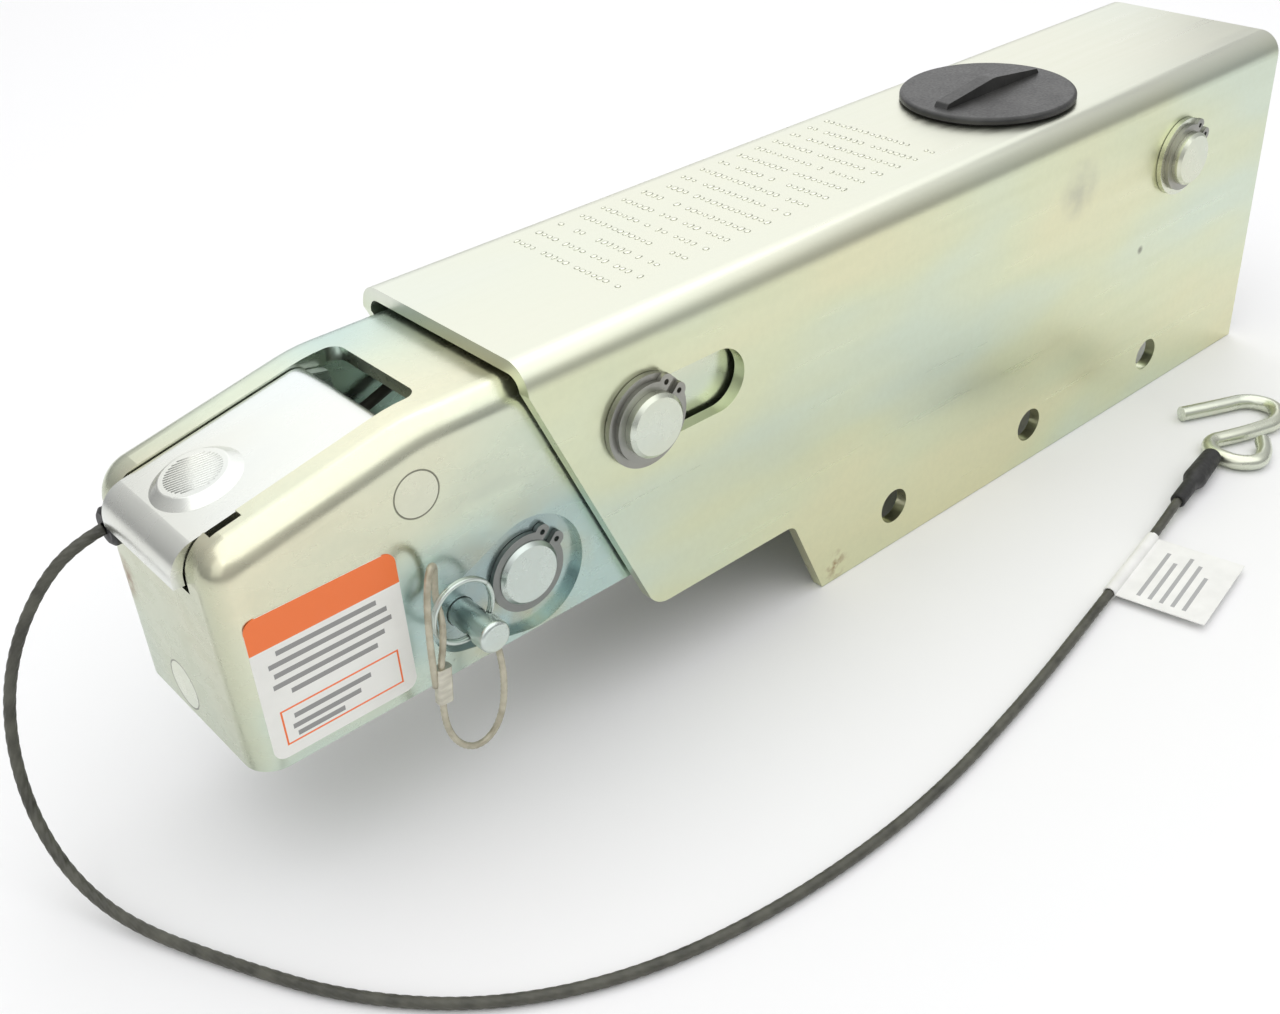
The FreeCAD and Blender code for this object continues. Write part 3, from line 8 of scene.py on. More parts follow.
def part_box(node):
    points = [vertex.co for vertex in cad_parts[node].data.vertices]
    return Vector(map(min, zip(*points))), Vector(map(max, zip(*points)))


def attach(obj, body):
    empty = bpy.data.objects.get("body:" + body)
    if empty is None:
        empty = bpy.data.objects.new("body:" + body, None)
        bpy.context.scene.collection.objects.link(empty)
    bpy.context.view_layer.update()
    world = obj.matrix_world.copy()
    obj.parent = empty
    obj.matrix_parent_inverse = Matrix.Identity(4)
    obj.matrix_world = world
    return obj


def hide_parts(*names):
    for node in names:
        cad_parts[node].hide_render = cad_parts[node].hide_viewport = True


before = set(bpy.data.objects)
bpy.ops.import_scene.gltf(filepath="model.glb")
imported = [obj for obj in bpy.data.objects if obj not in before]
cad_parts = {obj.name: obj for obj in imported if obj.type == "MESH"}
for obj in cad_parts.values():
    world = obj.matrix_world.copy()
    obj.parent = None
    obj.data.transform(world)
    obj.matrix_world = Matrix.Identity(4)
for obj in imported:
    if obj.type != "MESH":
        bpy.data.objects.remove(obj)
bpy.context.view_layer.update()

# Studio: a plain pale floor under a soft box overhead, a large light behind the part for its top, and a fill
# at its nose. The room is paler overhead than at the floor, for the reflections.
# The camera looks down along the part from its nose, as the photograph does.
right = Vector((0.75399038, -0.65413292, -0.06007186))
down = Vector((-0.40169802, -0.38678991, -0.83007968))
forward = Vector((0.51974726, 0.65000284, -0.55439976))
camera_place = (-0.20897, -0.35276, 0.34059)
camera_data = bpy.data.cameras.new("camera")
camera_data.sensor_fit = "HORIZONTAL"
camera_data.sensor_width = 36.0
camera_data.lens = 41.74
camera_data.clip_start = 0.01
camera = bpy.data.objects.new("camera", camera_data)
turn = Matrix((right, -down, -forward)).transposed()
camera.matrix_world = Matrix.Translation(camera_place) @ turn.to_4x4()
bpy.context.collection.objects.link(camera)
bpy.context.scene.camera = camera
bpy.context.scene.view_settings.view_transform = "Standard"


def finish(name):
    """New node material with its tree and its shader."""
    material = bpy.data.materials.new(name)
    material.use_nodes = True
    tree = material.node_tree
    return material, tree, tree.nodes["Principled BSDF"]


def add_mesh(name, points, faces, material):
    """Object at the origin, its place in its mesh."""
    mesh = bpy.data.meshes.new(name)
    mesh.from_pydata(points, [], faces)
    mesh.materials.append(material)
    mesh.polygons.foreach_set("use_smooth", [True] * len(mesh.polygons))
    mesh.update()
    piece = bpy.data.objects.new(name, mesh)
    bpy.context.collection.objects.link(piece)
    return piece


floor_material, _, floor_shader = finish("pale_floor")
floor_shader.inputs["Base Color"].default_value = (0.9, 0.9, 0.9, 1.0)
floor_shader.inputs["Roughness"].default_value = 0.9
reach = 6.0
floor_z = -0.0003
floor = add_mesh("floor", [(-reach, -reach, floor_z), (reach, -reach, floor_z), (reach, reach, floor_z),
                           (-reach, reach, floor_z)], [(0, 1, 2, 3)], floor_material)


def soft_light(name, place, aim, size, power):
    """Square area light at a place, turned towards a point."""
    light = bpy.data.lights.new(name, "AREA")
    light.shape = "SQUARE"
    light.size = size
    light.energy = power
    lamp = bpy.data.objects.new(name, light)
    lamp.location = place
    lamp.rotation_euler = (Vector(aim) - Vector(place)).to_track_quat("-Z", "Y").to_euler()
    bpy.context.collection.objects.link(lamp)


soft_light("overhead", place=(0.05, -0.25, 1.3), aim=(0.1, 0.0, 0.05), size=2.2, power=12.5)
soft_light("behind", place=(0.98, 1.30, 1.28), aim=(0.10, 0.0, 0.12), size=2.3, power=11.0)
soft_light("nose_fill", place=(-1.2, -0.5, 0.8), aim=(-0.05, 0.0, 0.08), size=0.9, power=1.2)
world = bpy.data.worlds.new("studio")
world.use_nodes = True
bpy.context.scene.world = world
sky = world.node_tree
sky_place = sky.nodes.new("ShaderNodeTexCoord")
sky_split = sky.nodes.new("ShaderNodeSeparateXYZ")
sky_ramp = sky.nodes.new("ShaderNodeValToRGB")
sky_ramp.color_ramp.elements[0].position = 0.0
sky_ramp.color_ramp.elements[0].color = (0.34, 0.34, 0.35, 1.0)
sky_ramp.color_ramp.elements[1].position = 0.75
sky_ramp.color_ramp.elements[1].color = (0.72, 0.72, 0.73, 1.0)
sky.links.new(sky_place.outputs["Generated"], sky_split.inputs[0])
sky.links.new(sky_split.outputs["Z"], sky_ramp.inputs["Fac"])
sky.links.new(sky_ramp.outputs["Color"], sky.nodes["Background"].inputs["Color"])


# Breakaway cable: a thin wire rope in dark vinyl that leaves the grommet at the far front corner.
# It springs out, drops to the floor and sweeps round the near side to its hook.
def grain(tree, scale, stretch=(1.0, 1.0, 1.0), detail=3.0):
    """Noise over the piece's own coordinates, stretched along its axes."""
    place = tree.nodes.new("ShaderNodeTexCoord")
    mapping = tree.nodes.new("ShaderNodeMapping")
    mapping.inputs["Scale"].default_value = stretch
    noise = tree.nodes.new("ShaderNodeTexNoise")
    noise.inputs["Scale"].default_value = scale
    noise.inputs["Detail"].default_value = detail
    tree.links.new(place.outputs["Object"], mapping.inputs["Vector"])
    tree.links.new(mapping.outputs["Vector"], noise.inputs["Vector"])
    return noise.outputs["Fac"]


def spread(tree, value, low, high, start=0.3, end=0.7):
    """A value brought from one range into another."""
    ranged = tree.nodes.new("ShaderNodeMapRange")
    ranged.inputs["From Min"].default_value = start
    ranged.inputs["From Max"].default_value = end
    ranged.inputs["To Min"].default_value = low
    ranged.inputs["To Max"].default_value = high
    tree.links.new(value, ranged.inputs["Value"])
    return ranged.outputs["Result"]


def tones(tree, value, *stops):
    """Colour ramp over a value, stops given as (position, colour)."""
    ramp = tree.nodes.new("ShaderNodeValToRGB")
    while len(ramp.color_ramp.elements) < len(stops):
        ramp.color_ramp.elements.new(0.5)
    for element, (position, colour) in zip(ramp.color_ramp.elements, stops):
        element.position = position
        element.color = (*colour, 1.0)
    tree.links.new(value, ramp.inputs["Fac"])
    return ramp.outputs["Color"]


def dress(material, *names):
    """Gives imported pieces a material."""
    for name in names:
        for material_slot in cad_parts[name].material_slots:
            material_slot.material = material


def route_points(name, route, steps):
    """Points along the smooth spline whose control points are the route's."""
    curve = bpy.data.curves.new(name + "_route", "CURVE")
    curve.dimensions = "3D"
    curve.resolution_u = steps
    spline = curve.splines.new("NURBS")
    spline.points.add(len(route) - 1)
    for point, place in zip(spline.points, route):
        point.co = (*place, 1.0)
    spline.order_u = 3
    spline.use_endpoint_u = True
    holder = bpy.data.objects.new(name + "_route", curve)
    bpy.context.collection.objects.link(holder)
    bpy.context.view_layer.update()
    evaluated = holder.evaluated_get(bpy.context.evaluated_depsgraph_get())
    line = bpy.data.meshes.new_from_object(evaluated)
    points = [vertex.co.copy() for vertex in line.vertices]
    bpy.data.objects.remove(holder)
    bpy.data.curves.remove(curve)
    bpy.data.meshes.remove(line)
    return points


def rope(name, points, radius, strands, lay_length, groove, sides, material):
    """Tube along points, grooved like the strands of a twisted rope. A plain wire has no groove."""
    corners = []
    faces = []
    across = Vector((0.0, 0.3, 1.0))
    travelled = 0.0
    last = len(points) - 1
    for index, point in enumerate(points):
        along = (points[min(index + 1, last)] - points[max(index - 1, 0)]).normalized()
        across = (across - along * across.dot(along)).normalized()
        beside = along.cross(across)
        if index:
            travelled += (point - points[index - 1]).length
        twist = 2 * math.pi * travelled / lay_length
        for side in range(sides):
            angle = 2 * math.pi * side / sides
            crown = abs(math.cos(strands / 2 * (angle - twist)))
            reach_out = radius * (1 - groove * (1 - crown))
            corners.append(point + (across * math.cos(angle) + beside * math.sin(angle)) * reach_out)
        if index:
            base = (index - 1) * sides
            for side in range(sides):
                after = (side + 1) % sides
                faces.append((base + side, base + after, base + sides + after, base + sides + side))
    faces.append(tuple(reversed(range(sides))))
    faces.append(tuple(range(last * sides, last * sides + sides)))
    return add_mesh(name, corners, faces, material)


vinyl_dark = (0.045, 0.045, 0.034)
vinyl_worn = (0.10, 0.10, 0.078)
cable_material, cable_tree, cable_shader = finish("vinyl_over_rope")
cable_wear = grain(cable_tree, 160.0)
cable_tree.links.new(tones(cable_tree, cable_wear, (0.3, vinyl_dark), (0.7, vinyl_worn)),
                     cable_shader.inputs["Base Color"])
cable_tree.links.new(spread(cable_tree, cable_wear, 0.38, 0.55), cable_shader.inputs["Roughness"])
cable_radius = 0.00185
CABLE = [
    (-0.1043, 0.0290, 0.1045), (-0.1140, 0.0302, 0.1024), (-0.1255, 0.0338, 0.0920),
    (-0.1365, 0.0362, 0.0760), (-0.1445, 0.0356, 0.0585), (-0.1498, 0.0300, 0.0400),
    (-0.1520, 0.0185, 0.0235), (-0.1502, 0.0025, 0.0105),
    (-0.1435, -0.0175, 0.0030), (-0.1295, -0.0470, 0.00195), (-0.1105, -0.0830, 0.00195),
    (-0.0820, -0.1140, 0.00195), (-0.0430, -0.1350, 0.00195), (0.0060, -0.1450, 0.00195),
    (0.0620, -0.1465, 0.00195), (0.1220, -0.1380, 0.0021), (0.1800, -0.1262, 0.0026),
    (0.2320, -0.1152, 0.0027), (0.2565, -0.1098, 0.0048),
]
cable_path = route_points("breakaway_cable", CABLE, steps=42)
cable = rope("cable_rope", cable_path, cable_radius, strands=6, lay_length=0.024, groove=0.13, sides=36,
             material=cable_material)
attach(cable, "coupler")
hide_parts("breakaway_cable")
dress(cable_material, "breakaway_cable_inner")

# Lanyard of the lock pin: thin twisted wire in clear plastic, grey-beige, with a crimped eye on the ring.
# It hangs in a loop and comes back to the pin's cap.
wire_dark = (0.36, 0.33, 0.24)
wire_pale = (0.58, 0.55, 0.43)
lanyard_material, lanyard_tree, lanyard_shader = finish("lanyard_wire")
lanyard_wear = grain(lanyard_tree, 240.0)
lanyard_tree.links.new(tones(lanyard_tree, lanyard_wear, (0.3, wire_dark), (0.7, wire_pale)),
                       lanyard_shader.inputs["Base Color"])
lanyard_tree.links.new(spread(lanyard_tree, lanyard_wear, 0.3, 0.45), lanyard_shader.inputs["Roughness"])
lanyard_shader.inputs["Metallic"].default_value = 0.35
lanyard_radius = 0.0011
LANYARD = [
    (-0.0479, -0.0490, 0.0570), (-0.0478, -0.0492, 0.0680), (-0.0472, -0.0494, 0.0790),
    (-0.0456, -0.0486, 0.0890), (-0.0424, -0.0466, 0.0960), (-0.0388, -0.0436, 0.0944),
    (-0.0383, -0.0414, 0.0876), (-0.0392, -0.0417, 0.0815), (-0.0406, -0.0463, 0.0762),
    (-0.0434, -0.0493, 0.0705), (-0.0453, -0.0494, 0.0640), (-0.0460, -0.0492, 0.0560),
    (-0.0470, -0.0492, 0.0475), (-0.0464, -0.0492, 0.0385), (-0.0428, -0.0492, 0.0305),
    (-0.0368, -0.0492, 0.0264), (-0.0306, -0.0494, 0.0288), (-0.0269, -0.0500, 0.0360),
    (-0.0256, -0.0506, 0.0450), (-0.0254, -0.0510, 0.0535), (-0.0262, -0.0512, 0.0612),
]
lanyard_path = route_points("lanyard", LANYARD, steps=16)
lanyard = rope("lanyard_rope", lanyard_path, lanyard_radius, strands=6, lay_length=0.011, groove=0.16,
               sides=18, material=lanyard_material)
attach(lanyard, "lock")
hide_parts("lanyard")


# Outer case: one steel sheet folded to an inverted channel, zinc plated with a yellow-green wash.
# The top shines almost white, helped by a painted highlight that blends it paler; the sides are satin with
# faint streaks along the length, and a few stains.
def node_with(tree, kind, **values):
    """New node with some of its settings."""
    new_node = tree.nodes.new(kind)
    for key, value in values.items():
        setattr(new_node, key, value)
    return new_node


def relief(tree, shader, height, strength, distance):
    """Bump from a value."""
    bump = tree.nodes.new("ShaderNodeBump")
    bump.inputs["Strength"].default_value = strength
    bump.inputs["Distance"].default_value = distance
    tree.links.new(height, bump.inputs["Height"])
    tree.links.new(bump.outputs["Normal"], shader.inputs["Normal"])


def blended(tree, mask, under, over):
    """Colour under, with another colour over it where the mask is."""
    mix = node_with(tree, "ShaderNodeMix", data_type="RGBA")
    tree.links.new(mask, mix.inputs[0])
    tree.links.new(under, mix.inputs[6])
    mix.inputs[7].default_value = (*over, 1.0)
    return mix.outputs[2]


def multiplied(tree, *values):
    """Product of values."""
    product = values[0]
    for value in values[1:]:
        times = node_with(tree, "ShaderNodeMath", operation="MULTIPLY")
        tree.links.new(product, times.inputs[0])
        if isinstance(value, float):
            times.inputs[1].default_value = value
        else:
            tree.links.new(value, times.inputs[1])
        product = times.outputs[0]
    return product


def coordinate(tree, letter):
    """The piece's own x, y or z."""
    place = tree.nodes.new("ShaderNodeTexCoord")
    split = tree.nodes.new("ShaderNodeSeparateXYZ")
    tree.links.new(place.outputs["Object"], split.inputs[0])
    return split.outputs[letter]


def blotch(tree, place, inner, outer):
    """Mask that fades out round a point."""
    coordinates = tree.nodes.new("ShaderNodeTexCoord")
    distance = node_with(tree, "ShaderNodeVectorMath", operation="DISTANCE")
    tree.links.new(coordinates.outputs["Object"], distance.inputs[0])
    distance.inputs[1].default_value = place
    return spread(tree, distance.outputs["Value"], 1.0, 0.0, inner, outer)


def zinc(name, cool, plain, warm, rough_low, rough_high, streak, spangled=0.10):
    """Plated steel: slow patches of tint, streaks along the rolled sheet and a fine spangle.

    Its tree, shader and colour are given too, for stains.
    """
    material, tree, shader = finish(name)
    tint = tones(tree, grain(tree, 11.0, (0.6, 1.0, 1.6), 2.0), (0.36, cool), (0.5, plain), (0.64, warm))
    spangle = spread(tree, grain(tree, 420.0, (1.0, 1.0, 1.0), 4.0), 0.0, spangled)
    colour = blended(tree, spangle, tint, tuple(0.72 * part for part in plain))
    streaks = grain(tree, 1.0, streak, 4.0)
    shader.inputs["Metallic"].default_value = 1.0
    tree.links.new(spread(tree, streaks, rough_low, rough_high), shader.inputs["Roughness"])
    relief(tree, shader, streaks, 0.05, 0.0004)
    tree.links.new(colour, shader.inputs["Base Color"])
    return material, tree, shader, colour


def stained(tree, under, tint, place, fade, mottle, cover, between, stretch=(1.0, 1.0, 1.0)):
    """Colour under, with a mottled stain that fades out round a point."""
    mask = multiplied(tree, blotch(tree, place, *fade),
                      spread(tree, grain(tree, mottle, stretch), *cover, *between))
    return blended(tree, mask, under, tint)


case_side = -0.0445
smudge_grey = (0.30, 0.31, 0.30)
dot_brown = (0.16, 0.15, 0.13)
dot_cover = 0.7
rust_brown = (0.30, 0.17, 0.08)
top_highlight_colour = (0.73, 0.745, 0.67)
case_material, case_tree, case_shader, case_colour = zinc(
    "yellow_zinc", cool=(0.66, 0.74, 0.61), plain=(0.71, 0.745, 0.53), warm=(0.755, 0.745, 0.51),
    rough_low=0.27, rough_high=0.38, streak=(9.0, 260.0, 260.0))
case_colour = stained(case_tree, case_colour, smudge_grey, (0.2656, case_side, 0.1146), fade=(0.001, 0.014),
                      mottle=110.0, cover=(0.18, 0.55), between=(0.35, 0.68))
dot = multiplied(case_tree, blotch(case_tree, (0.3146, case_side, 0.0731), 0.0008, 0.0022), dot_cover)
case_colour = blended(case_tree, dot, case_colour, dot_brown)
case_colour = stained(case_tree, case_colour, rust_brown, (0.1298, case_side, 0.0066), fade=(0.001, 0.008),
                      mottle=260.0, cover=(0.0, 0.75), between=(0.45, 0.65))
# Painted highlight: the top of the case is blended towards a paler colour, standing in for the overhead light
# on it.
top_painted_highlight = spread(case_tree, coordinate(case_tree, "Z"), 0.0, 0.75, 0.134, 0.142)
case_colour = blended(case_tree, top_painted_highlight, case_colour, top_highlight_colour)
case_tree.links.new(case_colour, case_shader.inputs["Base Color"])
dress(case_material, "outer_case")

# Embossing on the case's top: rows of small raised marks, rolled into the sheet before it was folded.
# They are plain dashes of several lengths. A dash's least and greatest scale are given along, across and up.
def start_tree(name, **inputs):
    """Tree of nodes that makes a mesh, with named inputs for its sizes."""
    tree = bpy.data.node_groups.new(name, "GeometryNodeTree")
    for label, kind in inputs.items():
        tree.interface.new_socket(label, in_out="INPUT", socket_type=kind)
    tree.interface.new_socket("Geometry", in_out="OUTPUT", socket_type="NodeSocketGeometry")
    return tree, tree.nodes.new("NodeGroupInput")


def end_tree(tree, geometry, material):
    """Makes the tree's instances real, in one material, and sends them to its output."""
    real = tree.nodes.new("GeometryNodeRealizeInstances")
    paint = tree.nodes.new("GeometryNodeSetMaterial")
    paint.inputs["Material"].default_value = material
    out = tree.nodes.new("NodeGroupOutput")
    tree.links.new(geometry, real.inputs["Geometry"])
    tree.links.new(real.outputs["Geometry"], paint.inputs["Geometry"])
    tree.links.new(paint.outputs["Geometry"], out.inputs["Geometry"])


emboss_rows = 17
emboss_columns = 19
emboss_centre = (0.128, 0.004, 0.1423)
dash_radius = 0.001
dash_share = 0.82
dash_least = (1.0, 0.55, 0.34)
dash_greatest = (1.7, 1.35, 0.40)
emboss_tree, emboss_in = start_tree("embossed_rows", Length="NodeSocketFloat", Width="NodeSocketFloat")
emboss_grid = emboss_tree.nodes.new("GeometryNodeMeshGrid")
emboss_grid.inputs["Vertices X"].default_value = emboss_rows
emboss_grid.inputs["Vertices Y"].default_value = emboss_columns
emboss_tree.links.new(emboss_in.outputs["Length"], emboss_grid.inputs["Size X"])
emboss_tree.links.new(emboss_in.outputs["Width"], emboss_grid.inputs["Size Y"])
emboss_dash = emboss_tree.nodes.new("GeometryNodeMeshUVSphere")
emboss_dash.inputs["Segments"].default_value = 8
emboss_dash.inputs["Rings"].default_value = 4
emboss_dash.inputs["Radius"].default_value = dash_radius
emboss_keep = node_with(emboss_tree, "FunctionNodeRandomValue", data_type="BOOLEAN")
emboss_keep.inputs["Probability"].default_value = dash_share
emboss_keep.inputs["Seed"].default_value = 5
emboss_size = node_with(emboss_tree, "FunctionNodeRandomValue", data_type="FLOAT_VECTOR")
emboss_size.inputs[0].default_value = dash_least
emboss_size.inputs[1].default_value = dash_greatest
emboss_size.inputs["Seed"].default_value = 8
emboss_place = emboss_tree.nodes.new("GeometryNodeInstanceOnPoints")
emboss_move = emboss_tree.nodes.new("GeometryNodeTransform")
emboss_move.inputs["Translation"].default_value = emboss_centre
emboss_tree.links.new(emboss_grid.outputs["Mesh"], emboss_place.inputs["Points"])
emboss_tree.links.new(emboss_dash.outputs["Mesh"], emboss_place.inputs["Instance"])
emboss_tree.links.new(emboss_keep.outputs[3], emboss_place.inputs["Selection"])
emboss_tree.links.new(emboss_size.outputs[0], emboss_place.inputs["Scale"])
emboss_tree.links.new(emboss_place.outputs["Instances"], emboss_move.inputs["Geometry"])
end_tree(emboss_tree, emboss_move.outputs["Geometry"], case_material)


def grown(name, tree, material, **sizes):
    """Plain mesh piece from a tree of nodes, its inputs set by their identifiers."""
    holder = bpy.data.objects.new(name + "_holder", bpy.data.meshes.new(name + "_holder"))
    bpy.context.collection.objects.link(holder)
    modifier = holder.modifiers.new(name, "NODES")
    modifier.node_group = tree
    for item in tree.interface.items_tree:
        if item.in_out == "INPUT" and item.name in sizes:
            modifier[item.identifier] = sizes[item.name]
    bpy.context.view_layer.update()
    mesh = bpy.data.meshes.new_from_object(holder.evaluated_get(bpy.context.evaluated_depsgraph_get()))
    holder.modifiers.remove(modifier)
    bpy.data.objects.remove(holder)
    mesh.name = name
    mesh.materials.clear()
    mesh.materials.append(material)
    mesh.polygons.foreach_set("use_smooth", [True] * len(mesh.polygons))
    piece = bpy.data.objects.new(name, mesh)
    bpy.context.collection.objects.link(piece)
    return piece


embossing = grown("case_embossing", emboss_tree, case_material, Length=0.150, Width=0.052)
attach(embossing, "case")

# Coupler: nose, walls and front flap folded from one sheet and welded, plated like the case.
# The stamped hollow keeps a straw tint and the sheet above it a grey one; the hollow's wall and the left of
# its floor are painted darker blue-grey as painted shade. The front flap is painted darker as painted shade,
# the far front corner has a rusty weld, and thin dark lines run round the flush pin and rivet.
coupler_material, coupler_tree, coupler_shader, coupler_colour = zinc(
    "pale_zinc", cool=(0.50, 0.64, 0.61), plain=(0.66, 0.72, 0.58), warm=(0.76, 0.73, 0.54),
    rough_low=0.22, rough_high=0.32, streak=(60.0, 90.0, 150.0))


def fitted_line(tree, keep, centre, radius, half_line):
    """Thin ring mask about an axis, where a flush pin or rivet meets the sheet."""
    coordinates = tree.nodes.new("ShaderNodeTexCoord")
    flattened = node_with(tree, "ShaderNodeVectorMath", operation="MULTIPLY")
    tree.links.new(coordinates.outputs["Object"], flattened.inputs[0])
    flattened.inputs[1].default_value = keep
    distance = node_with(tree, "ShaderNodeVectorMath", operation="DISTANCE")
    tree.links.new(flattened.outputs["Vector"], distance.inputs[0])
    distance.inputs[1].default_value = centre
    from_line = node_with(tree, "ShaderNodeMath", operation="SUBTRACT")
    tree.links.new(distance.outputs["Value"], from_line.inputs[0])
    from_line.inputs[1].default_value = radius
    size = node_with(tree, "ShaderNodeMath", operation="ABSOLUTE")
    tree.links.new(from_line.outputs[0], size.inputs[0])
    return spread(tree, size.outputs[0], 1.0, 0.0, half_line / 2, half_line)


coupler_side = -0.0381
hollow_edge = -0.0375
straw_tint = (0.55, 0.47, 0.26)
sheet_grey = (0.42, 0.47, 0.42)
hollow_floor_shade_colour = (0.30, 0.40, 0.43)
hollow_wall_shade_colour = (0.33, 0.43, 0.45)
flap_shade_colour = (0.48, 0.51, 0.38)
weld_brown = (0.22, 0.11, 0.04)
line_dark = (0.13, 0.13, 0.10)
line_cover = 0.85
coupler_colour = stained(coupler_tree, coupler_colour, straw_tint, (-0.010, coupler_side, 0.068),
                         fade=(0.014, 0.034), mottle=60.0, cover=(0.0, 0.75), between=(0.4, 0.62))
coupler_colour = stained(coupler_tree, coupler_colour, sheet_grey, (-0.010, coupler_side, 0.090),
                         fade=(0.010, 0.030), mottle=34.0, cover=(0.0, 0.7), between=(0.4, 0.62),
                         stretch=(0.6, 1.0, 1.5))
# Painted shade: the left of the hollow's floor is painted darker blue-grey.
coupler_colour = stained(coupler_tree, coupler_colour, hollow_floor_shade_colour, (-0.024, -0.0360, 0.075),
                         fade=(0.004, 0.020), mottle=85.0, cover=(0.3, 0.85), between=(0.35, 0.65))
# Painted shade: the hollow's wall, just inside the sheet's face, is painted darker blue-grey with a mottle.
below_face = spread(coupler_tree, coordinate(coupler_tree, "Y"), 0.0, 1.0, coupler_side, hollow_edge)
near_hollow = blotch(coupler_tree, (-0.010, -0.0366, 0.068), 0.032, 0.036)
hollow_wall_painted_shade = multiplied(coupler_tree, below_face, near_hollow,
                         spread(coupler_tree, grain(coupler_tree, 50.0), 0.25, 0.75, 0.35, 0.65))
coupler_colour = blended(coupler_tree, hollow_wall_painted_shade, coupler_colour, hollow_wall_shade_colour)
# Painted shade: the front flap's face is painted darker than the sides.
front_flap_shade_mask = spread(coupler_tree, coordinate(coupler_tree, "X"), 0.75, 0.0, -0.1018, -0.0960)
coupler_colour = blended(coupler_tree, front_flap_shade_mask, coupler_colour, flap_shade_colour)
coupler_colour = stained(coupler_tree, coupler_colour, weld_brown, (-0.102, 0.031, 0.087),
                         fade=(0.003, 0.010), mottle=300.0, cover=(0.2, 1.0), between=(0.35, 0.6))
flush_pin = {"keep": (1.0, 0.0, 1.0), "centre": (-0.0375, 0.0, 0.1152), "radius": 0.00750}
flush_rivet = {"keep": (0.0, 1.0, 1.0), "centre": (0.0, 0.0050, 0.0580), "radius": 0.00822}
for fitted in (flush_pin, flush_rivet):
    line = multiplied(coupler_tree, fitted_line(coupler_tree, **fitted, half_line=0.00042), line_cover)
    coupler_colour = blended(coupler_tree, line, coupler_colour, line_dark)
coupler_tree.links.new(coupler_colour, coupler_shader.inputs["Base Color"])
dress(coupler_material, "coupler_body")

# Bright plated steel: pins, rear washers, rivet, hook, ball socket and jaw, and the inner levers and rods.
# The pressed latch handle has a smoother and bluer finish of its own.
bright_material = zinc(
    "bright_zinc", cool=(0.64, 0.71, 0.67), plain=(0.69, 0.72, 0.60), warm=(0.74, 0.73, 0.56),
    rough_low=0.24, rough_high=0.34, streak=(160.0, 160.0, 160.0))[0]
handle_material = zinc(
    "smooth_zinc", cool=(0.70, 0.77, 0.79), plain=(0.75, 0.79, 0.78), warm=(0.79, 0.80, 0.74),
    rough_low=0.24, rough_high=0.30, streak=(20.0, 90.0, 90.0), spangled=0.03)[0]
dress(handle_material, "latch_handle")
dress(bright_material, "handle_pin", "slide_pin", "rear_pin", "rear_pin_washers", "lock_pin",
      "jaw_pivot_pin", "ball_socket", "socket_rivet", "ball_jaw", "s_hook", "lever_pin", "pawl_pin",
      "breakaway_lever", "reset_pawl", "push_rod", "damper_rod", "cable_nipple")

# Thumb pad ridges: fine parallel ribs coined into the flat top of the handle's round pad.
# Each is as long as the circle is wide there.
pad_radius = 0.0088
pad_centre = (-0.08399, 0.0015, 0.12674)
handle_slope = 0.21014
ridge_reach = 0.88 * pad_radius
ridge_heading = math.radians(66.0)
ridge_radius = 0.00022
ridge_flatness = 0.7
ridge_tree, ridge_in = start_tree("thumb_ridges", Count="NodeSocketInt", Radius="NodeSocketFloat")
ridge_line = ridge_tree.nodes.new("GeometryNodeMeshLine")
ridge_line.mode = "END_POINTS"
ridge_line.inputs["Start Location"].default_value = (-ridge_reach, 0.0, 0.0)
ridge_line.inputs["Offset"].default_value = (ridge_reach, 0.0, 0.0)
ridge_tree.links.new(ridge_in.outputs["Count"], ridge_line.inputs["Count"])
ridge_bar = ridge_tree.nodes.new("GeometryNodeMeshCylinder")
ridge_bar.inputs["Vertices"].default_value = 8
ridge_bar.inputs["Radius"].default_value = ridge_radius
ridge_bar.inputs["Depth"].default_value = 2.0
ridge_lay = ridge_tree.nodes.new("GeometryNodeTransform")
ridge_lay.inputs["Rotation"].default_value = (math.pi / 2, 0.0, 0.0)
ridge_tree.links.new(ridge_bar.outputs["Mesh"], ridge_lay.inputs["Geometry"])
ridge_where = ridge_tree.nodes.new("GeometryNodeInputPosition")
ridge_split = ridge_tree.nodes.new("ShaderNodeSeparateXYZ")
ridge_tree.links.new(ridge_where.outputs["Position"], ridge_split.inputs[0])
ridge_square = node_with(ridge_tree, "ShaderNodeMath", operation="MULTIPLY")
ridge_tree.links.new(ridge_split.outputs["X"], ridge_square.inputs[0])
ridge_tree.links.new(ridge_split.outputs["X"], ridge_square.inputs[1])
ridge_rim = node_with(ridge_tree, "ShaderNodeMath", operation="MULTIPLY")
ridge_tree.links.new(ridge_in.outputs["Radius"], ridge_rim.inputs[0])
ridge_tree.links.new(ridge_in.outputs["Radius"], ridge_rim.inputs[1])
ridge_rest = node_with(ridge_tree, "ShaderNodeMath", operation="SUBTRACT")
ridge_tree.links.new(ridge_rim.outputs[0], ridge_rest.inputs[0])
ridge_tree.links.new(ridge_square.outputs[0], ridge_rest.inputs[1])
ridge_half = node_with(ridge_tree, "ShaderNodeMath", operation="SQRT")
ridge_tree.links.new(ridge_rest.outputs[0], ridge_half.inputs[0])
ridge_scale = ridge_tree.nodes.new("ShaderNodeCombineXYZ")
ridge_scale.inputs["X"].default_value = 1.0
ridge_scale.inputs["Z"].default_value = ridge_flatness
ridge_tree.links.new(ridge_half.outputs[0], ridge_scale.inputs["Y"])
ridge_place = ridge_tree.nodes.new("GeometryNodeInstanceOnPoints")
ridge_tree.links.new(ridge_line.outputs["Mesh"], ridge_place.inputs["Points"])
ridge_tree.links.new(ridge_lay.outputs["Geometry"], ridge_place.inputs["Instance"])
